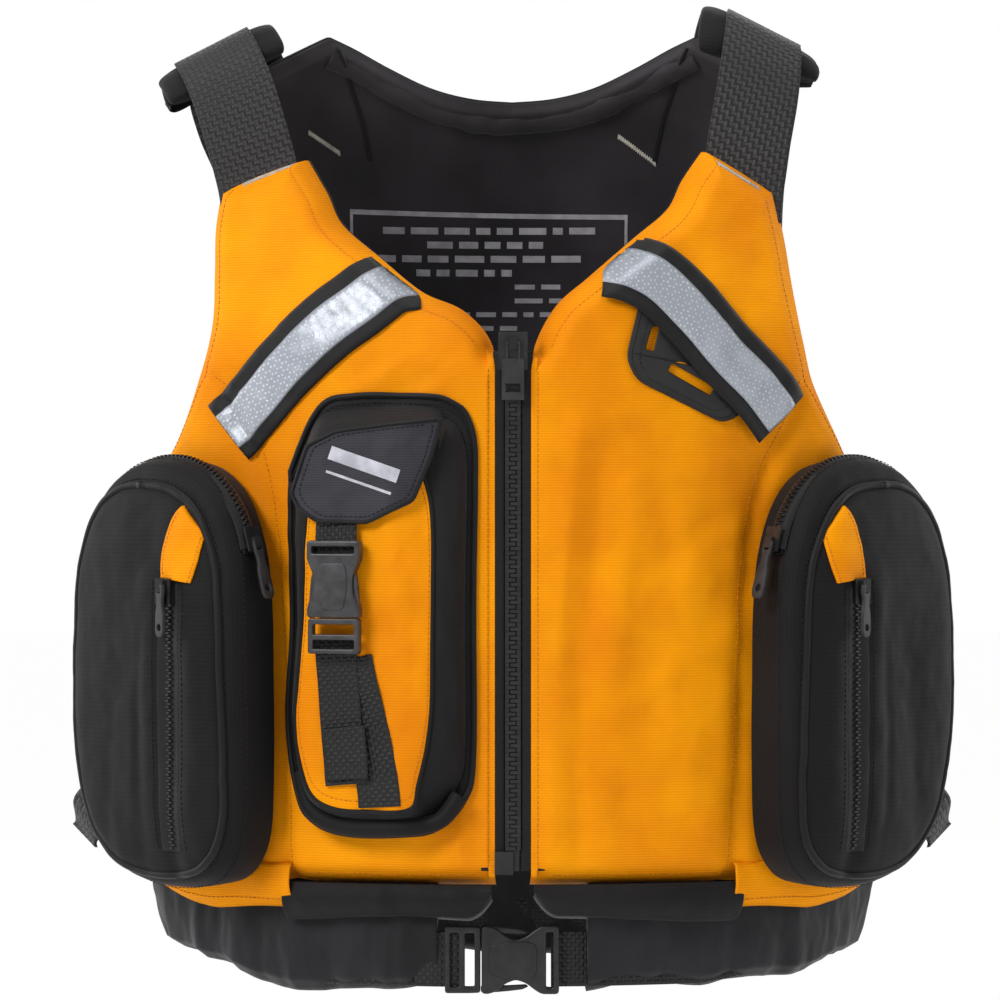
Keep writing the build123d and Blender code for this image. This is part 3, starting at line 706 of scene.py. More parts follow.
def backGrid(rows, columns):
    # columns go from the middle to the side, and rows from the hem to the neck and shoulder
    side = chestLine(backs["side"], 240)
    gusset = quarterLength - 46.0
    side[:, 0] = np.where(side[:, 1] < -278, np.minimum(side[:, 0], gusset), side[:, 0])
    neck = chestLine(backs["neck"], 120)
    up = crowded(rows, 0.7)
    k = np.linspace(0, 1, len(side))
    edge = np.stack([np.interp(up, k, side[:, i]) for i in range(2)], 1)
    over = crowded(columns, 0.6)
    top = np.stack([np.interp(over * 0.999, np.linspace(0, 0.72, 120), neck[:, i]) for i in range(2)],
        1)
    beyond = over > 0.72
    span = np.clip((over - 0.72) / 0.28, 0, 1)[:, None]
    top = np.where(beyond[:, None], neck[-1] * (1 - span) + side[-1] * span, top)
    foot = np.stack([over * edge[0, 0], np.full(columns, backs["bottom"])], 1)
    s = np.zeros((rows, columns))
    z = np.zeros((rows, columns))
    for r in range(rows):
        height = (edge[r, 1] - backs["bottom"]) / (edge[-1, 1] - backs["bottom"])
        share = over * edge[r, 0]
        lean = height ** 3
        s[r] = share * (1 - lean) + top[:, 0] * (edge[r, 0] / edge[-1, 0]) * lean
        z[r] = foot[:, 1] + (top[:, 1] - foot[:, 1]) * height
    return s, z, edge, top


s, z, edge, top = backGrid(backs["rows"], backs["columns"] // 2)
s = np.concatenate([-s[:, :0:-1], s], 1)
z = np.concatenate([z[:, :0:-1], z], 1)
ring = np.concatenate([top[::-1] * np.array([-1, 1]), top])
toSide = np.minimum(wallDistance(s, z, edge), wallDistance(s, z, edge * np.array([-1.0, 1.0])))
toTop = wallDistance(s, z, ring)
toFoot = np.abs(z - backs["bottom"])
nearest = np.minimum(np.minimum(toSide, toTop), toFoot)
places = onPlane(s, z)
depth = 2.0 + (backs["fullDepth"] - 2.0) * rounded(nearest, backs["roll"])
depth += np.clip(nearest / 30, 0, 1) * (1.8 * wobble(places, 70, 21) + 0.7 * wobble(places, 28, 22))
for level in (-190.0, -395.0):
    depth -= 3.2 * hollow(z - level - 6 * np.cos(s / 90), 4.5) * np.clip(nearest / 12, 0, 1)
uv = np.stack([s, z], -1)
backShell = gridPiece("backShell", wrap(s, z, depth, True), uv, black, "back", flip=True,
    nodes=("back_shell", "back_foam"), slot="black_fabric")
keepSeat("back", backShell)
for word, shift in (("Upper", -190.0), ("Lower", -395.0)):
    lineS = np.linspace(-250, 250, 260)
    reach = np.interp(shift, [-498, -280, -200], [250, 250, 205])
    lineS = lineS * reach / 250
    row = layOn("back", lineS, shift + 6 * np.cos(lineS / 90) + 5.5, 0.25, True)
    stitchRow(f"backStitches{word}", [row], threadBlack, "back")
loose = 0.5 + 0.5 * wobble(places * np.array([1, 0.4, 1]), 60, 31)
inside = 1.2 + 1.6 * loose * np.clip(nearest / 20, 0, 1)
inside -= 5.5 * hollow(toTop - 10, 7.0)
inside = np.where(nearest < 1.0, 2.0, inside)
backLining = gridPiece("backLining", wrap(s, z, inside, True), uv, lining, "back", flip=False,
    nodes=("back_liner",), slot="liner_fabric")
clothSheet(uv)
print("back made")


# reflective bands with their black edgings

bands = {
    "width": 25.0,
    "edging": 9.0,
    "lift": 0.9,
    # middle line from the neckline to the armhole's seam
    -1: [(60, -140), (73, -144), (90, -157), (112, -173), (134, -194), (153, -216), (169, -233)],
    1: [(57, -133), (72, -137), (88, -146), (105, -163), (126, -187), (146, -207), (160, -225)],
}


def bandGrid(side, half, rows, columns, trim=0.0):
    line = chestLine(bands[side], columns)
    ahead = unit(np.gradient(line, axis=0))
    up = np.stack([-ahead[:, 1], ahead[:, 0]], 1)
    across = np.linspace(-half, half, rows)
    places = line[None] + up[None] * across[:, None, None]
    run = runOf(line)
    # each row stops at the neckline, and runs a little over its rolled edge
    inner, _ = frontLines(side)
    neck = inner[inner[:, 1] > -188]
    starts = np.zeros(rows)
    for r in range(rows):
        edge = np.interp(places[r, :, 1], neck[:, 1], neck[:, 0]) * 1.035 + 1.5 + trim
        inside = places[r, :, 0] > edge
        starts[r] = run[int(np.argmax(inside))] if inside.any() else 0
    starts = np.convolve(np.pad(starts, 2, mode="edge"), np.ones(5) / 5, mode="valid")
    share = np.linspace(0, 1, columns)[None, :]
    at = starts[:, None] * (1 - share) + (run[-1] - trim) * share
    placed = np.zeros_like(places)
    for r in range(rows):
        for k in range(2):
            placed[r, :, k] = np.interp(at[r], run, places[r, :, k])
    uv = np.stack([at, np.broadcast_to(across[:, None], at.shape)], -1)
    return placed[..., 0], placed[..., 1], uv, across


for side, name in ((-1, "right"), (1, "left")):
    body = f"front_{name}"
    half = bands["width"] / 2 + bands["edging"]
    raised = 2.6 if side > 0 else 0.0
    bs, bz, buv, across = bandGrid(side, half, 23, 90)
    shape = rounded((half - np.abs(across))[:, None], 3.0) * 1.2
    crumple = 0.9 * wobble(onPlane(bs, bz) * np.array([1, 1, 1]), 20, 41 + side)
    freeEdge = np.clip((-across[:, None] - 12) / 10, 0, 1) * 2.2 * (side > 0)
    lift = bands["lift"] + raised + shape + crumple * 0.8 + freeEdge + 0.8
    edging = gridPiece(f"bandEdging_{name}", layOn(name, bs * side, bz, lift), buv, edgingBlack, body,
        flip=side < 0, nodes=(f"tape_edging_{name}",), slot="black_fabric")
    clothSheet(buv)
    thicken(edging, 1.2)
    half = bands["width"] / 2
    ts, tz, tuv, across = bandGrid(side, half, 19, 90, 0.4)
    crumple = 0.9 * wobble(onPlane(ts, tz), 20, 41 + side)
    shape = 0.9 * rounded((half - np.abs(across))[:, None], 2.5)
    lift = bands["lift"] + raised + 1.2 + crumple * 0.8 + 0.8 + shape
    tape = gridPiece(f"silverBand_{name}", layOn(name, ts * side, tz, lift), tuv, tapeSilver, body,
        flip=side < 0, nodes=(f"reflective_tape_{name}",), slot="reflective")
    clothSheet(tuv)
    thicken(tape, 0.5)
print("bands made")


# side pockets: a stuffed bag on each front, its zips, tab and seams

pockets = {
    "turn": math.radians(45),
    "middleZ": -373.0,
    "tuck": 112.0,
    # outline of the bag where it is sewn down, across and up, outwards from the front positive
    "outline": [
        (0, -250), (28, -255), (51, -273), (65, -303), (70, -340), (71, -385), (67, -430), (55, -464),
        (34, -487), (5, -497), (-30, -497), (-53, -489), (-67, -467), (-70, -425), (-70, -380),
        (-69, -335), (-64, -301), (-50, -272), (-28, -255),
    ],
    # share of that outline and depth, from the sewn edge to the rim and over the face
    "profile": [
        (1.0, 112), (1.012, 119), (1.02, 127), (1.012, 135), (0.975, 142), (0.915, 145.6),
        (0.883, 146.0),
    ],
    "face": [
        (0.885, 146.0), (0.86, 149.5), (0.80, 152.5), (0.66, 155.5), (0.45, 157.3), (0.22, 158.0),
        (0.02, 158.2),
    ],
    "zipA": -27.1,
    "zipTop": -318.0,
    # the arch zip's circle, and how far out it lies
    "archMiddle": -318.0,
    "archRadius": 70.6,
    "archDepth": 128.0,
    "zipFoot": -478.0,
}


def pocketPlace(side, a, z, d):
    cosine, sine = math.cos(pockets["turn"]), math.sin(pockets["turn"])
    a, z, d = np.broadcast_arrays(*(np.asarray(v, float) for v in (a, z, d)))
    return np.stack([side * (sideX + sine * d + cosine * a), -cosine * d + sine * a, z], -1)


def closedCurve(keys, count):
    keys = np.array(keys, float)
    looped = np.concatenate([keys[-2:], keys, keys[:3]])
    line = smoothCurve(looped, (len(looped) - 1) * 40 + 1)
    line = line[80: 80 + len(keys) * 40 + 1]
    run = runOf(line)
    at = np.linspace(0, run[-1], count + 1)[:-1]
    return np.stack([np.interp(at, run, line[:, k]) for k in range(2)], 1), run[-1]


def pocketSkin(side, keys, rows, count, seed):
    outline, around = closedCurve(pockets["outline"], count)
    keys = np.array(keys, float)
    line = smoothCurve(keys, rows)
    share, d = line[:, 0][:, None], line[:, 1][:, None]
    low = np.clip((pockets["middleZ"] - outline[None, :, 1]) / 100, 0, 1)
    outer = np.clip(outline[None, :, 0] / 60, 0, 1)
    fuller = np.maximum(low * 0.075, outer * 0.05)
    fuller = fuller * np.clip((1.02 - share) / 0.14, 0, 1) * np.clip(share / 0.5, 0, 1)
    share = share + fuller
    a = outline[None, :, 0] * share
    z = pockets["middleZ"] + (outline[None, :, 1] - pockets["middleZ"]) * share
    d = np.broadcast_to(d, a.shape).copy()
    spots = np.stack([a, z, d * side], -1)
    loose = np.clip((d - 118) / 25, 0, 1)
    d += loose * (1.5 * wobble(spots * np.array([1, 0.45, 1]), 46, seed)
        + 0.55 * wobble(spots, 17, seed + 1))
    return a, z, d, around


def pocketRay(key, side, a, z, lift):
    # a place on the pocket's real surface, looking straight in at its face
    a, z, lift = np.broadcast_arrays(*(np.asarray(v, float) for v in (a, z, lift)))
    outer, inner = pocketPlace(side, a, z, 190.0), pocketPlace(side, a, z, 110.0)
    return castOnto(key, outer, inner, lift, lambda o, n: n + (o - n) * 0.45)


def joinedMesh(name, parts, material, body, **rest):
    # several closed grids as one piece: each is (points, uv, closed)
    allPoints, allUv, faces = [], [], []
    start = 0
    for points, uv, closed in parts:
        rows, columns = points.shape[:2]
        allPoints.append(points.reshape(-1, 3))
        allUv.append(uv.reshape(-1, 2))
        faces += [tuple(start + f for f in face) for face in gridFaces(rows, columns, closed=closed)]
        start += rows * columns
    return showPiece(name, np.concatenate(allPoints), faces, material, body, uvs=np.concatenate(allUv),
        **rest)


def zipChain(name, line, normals, pitch, wide, high, material, body, **rest):
    # interlocked teeth, left and right in turn, each a small rounded block
    line, normals = np.asarray(line, float), unit(normals)
    run = runOf(line)
    ahead = unit(np.gradient(line, axis=0))
    across = unit(np.cross(ahead, normals))
    points, faces = [], []
    block = [
        (-1, -1, 0), (1, -1, 0), (1, 1, 0), (-1, 1, 0), (-0.8, -0.7, 1), (0.8, -0.7, 1), (0.8, 0.7, 1),
        (-0.8, 0.7, 1),
    ]
    sides = [(0, 1, 5, 4), (1, 2, 6, 5), (2, 3, 7, 6), (3, 0, 4, 7), (4, 5, 6, 7)]
    for i, at in enumerate(np.arange(pitch, run[-1] - pitch, pitch)):
        here = [np.array([np.interp(at, run, v[:, k]) for k in range(3)])
            for v in (line, ahead, across, normals)]
        lean = (0.5 if i % 2 else -0.5) * wide * 0.42
        start = len(points)
        for u, v, h in block:
            offset = here[2] * (lean + u * wide * 0.36) + here[1] * v * pitch * 0.4 + here[3] * h * high
            points.append(here[0] + offset)
        faces += [tuple(start + f for f in face) for face in sides]
    return showPiece(name, points, faces, material, body, smooth=False, **rest)


for side, name in ((-1, "right"), (1, "left")):
    body = f"front_{name}"
    a, z, d, around = pocketSkin(side, pockets["profile"], 26, 200, 51 + side)
    run = np.linspace(0, around, 200)[None, :] + a * 0
    deep = np.linspace(0, 44, 26)[:, None] + a * 0
    gusset = showPiece(f"pocketGusset_{name}", pocketPlace(side, a, z, d).reshape(-1, 3),
        gridFaces(26, 200, flip=side > 0, closed=True), pocketBlack, body,
        uvs=np.stack([run, deep], -1).reshape(-1, 2), nodes=(f"side_pocket_{name}",),
        slot="black_fabric")
    fa, fz, fd, around = pocketSkin(side, pockets["face"], 56, 200, 51 + side)
    # the face pulls in along its zip and swells on both sides of it
    zipDist = np.abs(fa - pockets["zipA"] - 2.5 * np.sin((fz + 330) / 48))
    inZip = np.clip((pockets["zipTop"] + 6 - fz) / 12, 0, 1)
    fd -= 2.6 * hollow(zipDist, 7.0) * inZip
    fd += 1.6 * hollow(zipDist - 17, 9.0) * inZip * np.clip((fz + 486) / 30, 0, 1)
    for foldAt, high, wide in ((-9, -1.3, 4.5), (6, 1.1, 8), (24, -0.9, 7)):
        bend = foldAt + 7 * np.sin((fz + 300) / 62 + foldAt)
        span = np.clip((-330 - fz) / 60, 0, 1) * np.clip((fz + 480) / 40, 0, 1)
        fd += high * hollow(fa - bend, wide) * span
    points = pocketPlace(side, fa, fz, fd).reshape(-1, 3)
    face = showPiece(f"pocketFace_{name}", points, gridFaces(56, 200, flip=side > 0, closed=True),
        pocketBlack, body, uvs=np.stack([fa, fz], -1).reshape(-1, 2), slot="black_fabric")
    # close the small hole in the middle of the face
    hub = Vector(pocketPlace(side, 0, pockets["middleZ"], 158) * mm)
    bm = bmesh.new()
    bm.from_mesh(face.data)
    rim = [e for e in bm.edges if e.is_boundary and (e.verts[0].co - hub).length < 0.02]
    bmesh.ops.contextual_create(bm, geom=rim)
    bm.to_mesh(face.data)
    bm.free()
    keepSeat(f"pocket_{name}", face)
    keepSeat(f"gusset_{name}", gusset)
    # piping round the face, and the arch's zip on the gusset
    rim = pocketPlace(side, fa[0], fz[0], fd[0] + 1.6)
    rim = np.concatenate([rim, rim[:4]])
    tubeMesh(f"pocketPiping_{name}", [rim], 2.3, edgingBlack, body, sides=10, slot="black_fabric")
    lift = 0.35
    for row in (12, 21):
        # a touch outside the gusset, so that the thread shows
        up = pockets["middleZ"] + (z[row] - pockets["middleZ"]) * 1.004
        stitchLine = pocketPlace(side, a[row] * 1.004, up, d[row] + lift)
        stitchRow(f"gussetStitches{row}_{name}", [looped(stitchLine)], threadBlack, body, radius=0.28)
    # arch zip: tape and chain at the slider's height
    archT = np.radians(np.linspace(14, 178, 90))
    archZ = pockets["archMiddle"] + pockets["archRadius"] * np.sin(archT)
    archA = -pockets["archRadius"] * np.cos(archT)
    outward = pocketPlace(side, -np.cos(archT), np.sin(archT), 0) - pocketPlace(side, 0, 0, 0)
    archLine = pocketPlace(side, archA, archZ, pockets["archDepth"])
    facing = pocketPlace(side, 0, 0, 1) - pocketPlace(side, 0, 0, 0)
    facing = np.broadcast_to(facing, archLine.shape)
    archTape = np.stack([archLine + facing * u + outward * h for u,
        h in ((-7, -2.2), (-5, 0.2), (-1.6, 0.7), (1.6, 0.7), (5, 0.1), (7, -2.2))], 1)
    tapeUv = pairs(np.arange(6)[None, :] * 2.4, np.linspace(0, 200, 90)[:, None])
    gridPiece(f"archTape_{name}", archTape, tapeUv, edgingBlack, body, flip=side > 0,
        slot="black_fabric")
    zipChain(f"archTeeth_{name}", archLine + outward * 0.7, outward, 1.7, 4.6, 1.2, zipBlack, body,
        nodes=(f"pocket_zips_{name}",), slot="zip_plastic")
    # face zip on its own pulled-in line
    chainZ = np.linspace(pockets["zipTop"], pockets["zipFoot"], 110)
    chainA = pockets["zipA"] + 0.6 * np.sin((chainZ + 330) / 48)
    tapeA = chainA[:, None] + np.array([-8, -6.6, -3, 0, 3, 6.6, 8])[None, :]
    tapeLift = np.array([0.1, 0.7, 0.8, 0.9, 0.8, 0.7, 0.1])[None, :]
    zipTape = pocketRay(f"pocket_{name}", side, tapeA, chainZ[:, None], tapeLift)
    tapeUv = pairs(np.arange(7)[None, :] * 2.6, chainZ[:, None])
    gridPiece(f"faceTape_{name}", zipTape, tapeUv, edgingBlack, body, flip=side < 0,
        slot="black_fabric")
    chain = zipTape[:, 3]
    zipChain(f"faceTeeth_{name}", chain, facing[:1] + chain * 0, 1.8, 4.4, 1.1, zipBlack, body,
        slot="zip_plastic")
    for offset in (-11.5, 11.5):
        flank = pocketRay(f"pocket_{name}", side, chainA + offset, chainZ, 0.25)
        word = "In" if offset < 0 else "Out"
        stitchRow(f"faceZipStitches{word}_{name}", [flank], threadBlack, body, radius=0.28)
    # orange tab folded over the top end of the face zip
    tabLeft = smoothCurve([(-50, -292), (-50, -301), (-48, -313), (-46, -321)], 26)
    tabRight = smoothCurve([(-33, -275.5), (-28, -284), (-24, -300), (-22, -318)], 26)
    spread = np.linspace(0, 1, 15)[None, :, None]
    tab = tabLeft[:, None] * (1 - spread) + tabRight[:, None] * spread
    height = 1.6 + 1.1 * np.sin(np.linspace(0, math.pi, 15))[None,
        :] + 0.7 * wobble(onPlane(tab[..., 0], tab[..., 1]), 14, 61 + side)
    tabPoints = pocketRay(f"pocket_{name}", side, tab[..., 0], tab[..., 1], height)
    tabPoints[0] = pocketRay(f"pocket_{name}", side, tab[0, :, 0], tab[0, :, 1], 0.2)
    tabPiece = gridPiece(f"pocketTab_{name}", tabPoints, tab, orange, body, flip=side > 0,
        nodes=(f"pocket_tab_{name}",), slot="orange_shell")
    clothSheet(tab)
    thicken(tabPiece, 1.6)
    tabStitches = [
        pocketRay(f"pocket_{name}", side, tab[3:, k, 0], tab[3:, k, 1], height[3:, k] + 0.15)
        for k in (1, 13)]
    stitchRow(f"tabStitches_{name}", tabStitches, threadOrange, body, spacing=2.6, length=1.7,
        radius=0.25)
print("side pockets made")


# chest pocket: a black gusseted bag with an orange face, sewn to the wearer's right front

chest = {
    # the backing's outline, across the chest and up, outwards positive
    "backing": [
        (130, -262), (129, -252), (112, -218), (92, -212), (66, -212), (44, -213), (34, -217),
        (28, -222), (23, -236), (22, -260), (23, -330), (23, -420), (28, -446), (44, -463), (64, -467),
        (98, -467), (118, -459), (126, -444), (133, -400), (130, -350), (130, -300),
    ],
    # the orange face's outline
    "face": [
        (118, -262), (116, -245), (106, -234), (62, -234), (54, -252), (47, -280), (46.5, -340),
        (48, -400), (55, -438), (60, -452), (84, -453.5), (104, -452), (117, -444), (124, -424),
        (127, -398), (123, -350), (121, -300),
    ],
    "faceDepth": 21.0,
    "strapWidth": 25.4,
}


def chestCurve(key, count):
    line, around = closedCurve([(roundAt(x), z) for x, z in chest[key]], count)
    return line, around


count = 220
backing, around = chestCurve("backing", count)
middle = backing.mean(0)
shares = np.array([1.0, 0.985, 0.95, 0.85, 0.6, 0.3, 0.02])
ring = middle + (backing[None] - middle) * shares[:, None, None]
lift = np.array([0.3, 1.6, 2.0, 2.0, 2.0, 2.0, 2.0])[:, None] + ring[..., 0] * 0
backingPoints = layOn("right", -ring[..., 0], ring[..., 1], lift)
chestBacking = showPiece("chestPocketBacking", backingPoints.reshape(-1, 3),
    gridFaces(len(shares), count, flip=True, closed=True), black, "front_right",
    uvs=ring.reshape(-1, 2), nodes=("chest_pocket_back",), slot="black_fabric")
face, around = chestCurve("face", count)
faceMiddle = face.mean(0)
# match each face point with the nearest direction of the backing, so the gusset has no twist
angle = np.arctan2(face[:, 1] - faceMiddle[1], face[:, 0] - faceMiddle[0])
backAngle = np.arctan2(backing[:, 1] - faceMiddle[1], backing[:, 0] - faceMiddle[0])
order = np.argsort(backAngle)
sewnRing = faceMiddle + (backing - faceMiddle) * 0.93
foot = np.stack([np.interp(angle, backAngle[order], sewnRing[order, k], period=2 * math.pi)
    for k in range(2)], 1)
steps = 16
gussetRing = np.zeros((steps, count, 2))
gussetLift = np.zeros((steps, count))
for k in range(steps):
    t = k / (steps - 1)
    gussetRing[k] = foot * (1 - t**1.3) + face * t**1.3
    gussetLift[k] = 2.0 + (chest["faceDepth"] - 3.0) * math.sin(t * math.pi / 2) ** 0.8
spots = np.concatenate([gussetRing, gussetLift[..., None] * 2], -1)
gussetLift += np.sin(np.linspace(0, math.pi, steps))[:, None] * 1.6 * wobble(spots, 22, 71)
gussetPoints = layOn("right", -gussetRing[..., 0], gussetRing[..., 1], gussetLift)
gussetUv = pairs(np.linspace(0, around, count)[None, :], np.linspace(0, 26, steps)[:, None])
chestGusset = showPiece("chestPocketGusset", gussetPoints.reshape(-1, 3),
    gridFaces(steps, count, flip=True, closed=True), black, "front_right", uvs=gussetUv.reshape(-1, 2),
    nodes=("chest_pocket",), slot="black_fabric")
shares = crowded(30, 0.4)[::-1] * 0.99 + 0.005
faceRing = faceMiddle + (face[None] - faceMiddle) * shares[:, None, None]
spots = onPlane(faceRing[..., 0], faceRing[..., 1])
inward = 1 - shares[:, None]
faceLift = chest["faceDepth"] - 1.0 + 3.0 * rounded(inward * 45, 14) + np.clip(inward * 4, 0,
    1) * (1.7 * wobble(spots * np.array([1, 0.4, 1]), 34, 73) + 0.8 * wobble(spots, 15, 74))
facePoints = layOn("right", -faceRing[..., 0], faceRing[..., 1], faceLift)
chestFace = showPiece("chestPocketFace", facePoints.reshape(-1, 3),
    gridFaces(30, count, flip=True, closed=True) + [tuple(29 * count + k for k in range(count))[::-1]],
    orange, "front_right", uvs=faceRing.reshape(-1, 2), slot="orange_shell")
keepSeat("chest", chestFace)
faceRim = looped(facePoints[0])
tubeMesh("chestPiping", [faceRim], 1.3, edgingBlack, "front_right", sides=8, slot="black_fabric")
backRim = layOn("right", -backing[:, 0] * 1.0, backing[:, 1], 1.6)
tubeMesh("chestBinding", [looped(backRim)], 1.9, edgingBlack, "front_right", sides=10,
    slot="black_fabric")
for k, share in enumerate((0.965, 0.93)):
    inner = middle + (backing - middle) * share
    line = layOn("right", -inner[:, 0], inner[:, 1], 2.25)
    stitchRow(f"chestBackStitches{k}", [line], threadBlack, "front_right", spacing=3.2, length=2.0,
        radius=0.26)
inner = faceMiddle + (face - faceMiddle) * 0.94
line = layOn("chest", -inner[:, 0], inner[:, 1], 0.15, hold=chest["faceDepth"])
stitchRow("chestFaceStitches", [line], threadOrange, "front_right", spacing=3.0, length=1.9,
    radius=0.25)
# rolled lower end of the gusset
rollKeys = [(124, -432), (118, -452), (100, -462), (72, -463), (44, -459), (31, -444)]
roll = chestLine(rollKeys, 60)
rollLine = layOn("right", -roll[:, 0], roll[:, 1], 6.0 + 6 * np.sin(np.linspace(0, math.pi, 60)))
tubeMesh("chestLowerRoll", [rollLine], 5.0, black, "front_right", sides=14, slot="black_fabric")

flap = {
    "outline": [
        (41, -226), (47, -247), (58, -273), (84, -285.5), (113, -285), (124, -277), (128, -269),
        (119, -241), (103, -233), (72, -229),
    ],
    "depth": 3.2,
}
outline = np.array([(roundAt(x), z) for x, z in flap["outline"]])
corners = np.array(softCorners(outline, 3.0, share=0.4))
closed = looped(corners)
run = runOf(closed)
at = np.linspace(0, run[-1], 161)[:-1]
flapEdge = np.stack([np.interp(at, run, closed[:, k]) for k in range(2)], 1)
flapMiddle = flapEdge.mean(0)
shares = np.linspace(1, 0.02, 22)
flapRing = flapMiddle + (flapEdge[None] - flapMiddle) * shares[:, None, None]


def flapLift(places):
    # the flap's free lower edge stands off, and its upper edge is sewn down
    spots = onPlane(places[..., 0], places[..., 1])
    free = np.clip((-235 - places[..., 1]) / 45, 0, 1)
    return chest["faceDepth"] + flap["depth"] + 2.2 + 2.0 * free + 1.5 * wobble(spots, 26, 77)


flapPoints = layOn("right", -flapRing[..., 0], flapRing[..., 1], flapLift(flapRing))
chestFlap = showPiece("chestFlap", flapPoints.reshape(-1, 3),
    gridFaces(22, 160, flip=False, closed=True) + [tuple(21 * 160 + k for k in range(160))], flapCloth,
    "front_right", uvs=flapRing.reshape(-1, 2), nodes=("chest_flap",), slot="black_fabric")
clothSheet(flapRing[0])
thicken(chestFlap, 2.0, 1.0)
keepSeat("flap", chestFlap)
flapRim = looped(flapPoints[0])
tubeMesh("flapEdge", [flapRim], 1.15, edgingBlack, "front_right", sides=8, slot="black_fabric")
inner = flapMiddle + (flapEdge - flapMiddle) * 0.9
line = layOn("right", -inner[:, 0], inner[:, 1], flapLift(inner) + 0.35)
stitchRow("flapStitches", [line], threadBlack, "front_right", spacing=3.0, length=1.9, radius=0.26)
# one plain silver patch and a thin rule, as a neutral reflective print
barsAt = [((106, -245), (66, -259), 8.0), ((108, -256), (70, -269), 1.6)]
barParts = []
for start, end, wide in barsAt:
    start, end = np.array([roundAt(start[0]), start[1]]), np.array([roundAt(end[0]), end[1]])
    ahead = unit(end - start)
    up = np.array([-ahead[1], ahead[0]])
    t = np.linspace(0, 1, 24)[:, None, None]
    u = np.linspace(-wide / 2, wide / 2, 6)[None, :, None]
    places = start + (end - start) * t + up * u
    barParts.append((layOn("right", -places[..., 0], places[..., 1], flapLift(places) + 0.3), places,
        False))
joinedMesh("flapPrint", barParts, printSilver, "front_right", slot="reflective")
# the black cloth above the flap, folding over the pocket's top
upperKeys = np.array([(120, -238), (112, -223), (92, -218), (66, -217), (45, -219), (38, -228)], float)
upper = chestLine(upperKeys, 50)
lower = chestLine([(120, -246), (108, -240), (92, -238), (72, -238), (52, -240), (42, -243)], 50)
spread = np.linspace(0, 1, 12)[:, None, None]
cover = upper[None] * (1 - spread) + lower[None] * spread
coverLift = 2.5 + (chest["faceDepth"] + 1.0) * np.sin(np.linspace(0, math.pi / 2, 12))[:, None] ** 0.9
coverPoints = layOn("right", -cover[..., 0], cover[..., 1], coverLift + cover[..., 0] * 0)
gridPiece("chestPocketTop", coverPoints, cover, black, "front_right", flip=False, slot="black_fabric")


def strapOn(key, keys, lifts, width, thickness, material, name, body, count=60, **rest):
    # a flat strap laid over a surface, its face turned the way the surface looks
    line2 = chestLine(keys, count)
    lifts = np.interp(np.linspace(0, 1, count), np.linspace(0, 1, len(lifts)), lifts)
    line = layOn(key, -line2[:, 0], line2[:, 1], lifts,
        hold=chest["faceDepth"] if key == "chest" else 0.0)
    ahead = unit(np.gradient(line, axis=0))
    outFrom = wrap(-line2[:, 0], line2[:, 1], 60.0) - wrap(-line2[:, 0], line2[:, 1], 20.0)
    across = unit(np.cross(ahead, outFrom))
    normals = np.cross(across, ahead)
    return ribbonMesh(name, line, across, normals, width, thickness, material, body, **rest)


# each strap: its seat, its line across and up, how far it stands off, its thickness and the CAD node
straps = {
    "flapStrap": (
        "right", [(101.5, -276), (102, -286), (102.5, -298), (103, -310)],
        [22, 24.5, 28.5, 30], 2.0, ("flap_strap",)),
    "chestStrapLower": (
        "chest", [(103, -352), (102, -366), (99.5, -400), (97, -430), (96, -437)],
        [4.0, 2.6, 2.2, 2.4, 1.6], 1.8, ("chest_strap",)),
    "chestStrapUnder": (
        "chest", [(93, -364), (89, -385), (82, -415), (78, -438), (77, -450)],
        [1.3, 1.2, 1.2, 1.0, 0.6], 1.6, ()),
    "chestStrapFold": (
        "chest", [(98, -404), (96.5, -420), (95.6, -434)], [4.6, 5.0, 4.4], 2.4, ()),
}
for strap, (key, keys, lifts, thickness, nodes) in straps.items():
    strapOn(key, keys, lifts, chest["strapWidth"] + (0.2 if strap == "chestStrapFold" else 0),
        thickness, narrowWebbing, strap, "front_right", nodes=nodes, slot="webbing")
print("chest pocket made")


# shoulders: padded yoke pieces, wide webbing over them, and the marks of their sewing

shoulders = {
    "width": 50.0,
    "thickness": 2.0,
    # webbing line over each shoulder, from the front's top over the crest to the back,
    # as across, forwards and up
    "webbing": {
        -1: [
            (-149, -62, -104), (-151, -55, -88), (-154, -50, -74), (-159, -47, -56), (-166, -42, -33),
            (-173, -34, -15), (-179, -20, -3), (-183, -2, 3), (-184, 14, 4), (-183, 30, 2),
            (-181, 44, -6), (-176, 56, -20), (-168, 66, -42), (-161, 76, -64), (-156, 88, -88),
        ],
        1: [
            (136, -68, -103), (137, -61, -90), (139, -56, -76), (142, -52, -56), (147, -45, -29),
            (150, -35, -8), (152, -20, 8), (153, -2, 14), (154, 14, 15.5), (153, 30, 13), (151, 44, 4),
            (149, 57, -14), (147, 66, -40), (145, 77, -64), (143, 89, -88),
        ],
    },
    "tilt": math.radians(27),
    "padWidth": 78.0,
    "padThick": 11.0,
    "padSpan": (54, 118),  # the steps of the webbing line that the pad lies under
    "zigzag": 0.42,  # radius of the pale thread
}


def shoulderFrame(side, line):
    # across runs outwards and down over the shoulder, the normal points away from the body
    ahead = unit(np.gradient(line, axis=0))
    slope = shoulders["tilt"]
    lean = np.array([side * math.cos(slope), 0.0, -math.sin(slope)])
    across = unit(lean - ahead * (ahead @ lean)[:, None])
    normals = unit(np.cross(ahead, across))
    return ahead, across * side, normals * np.sign(normals[:, 2].sum())


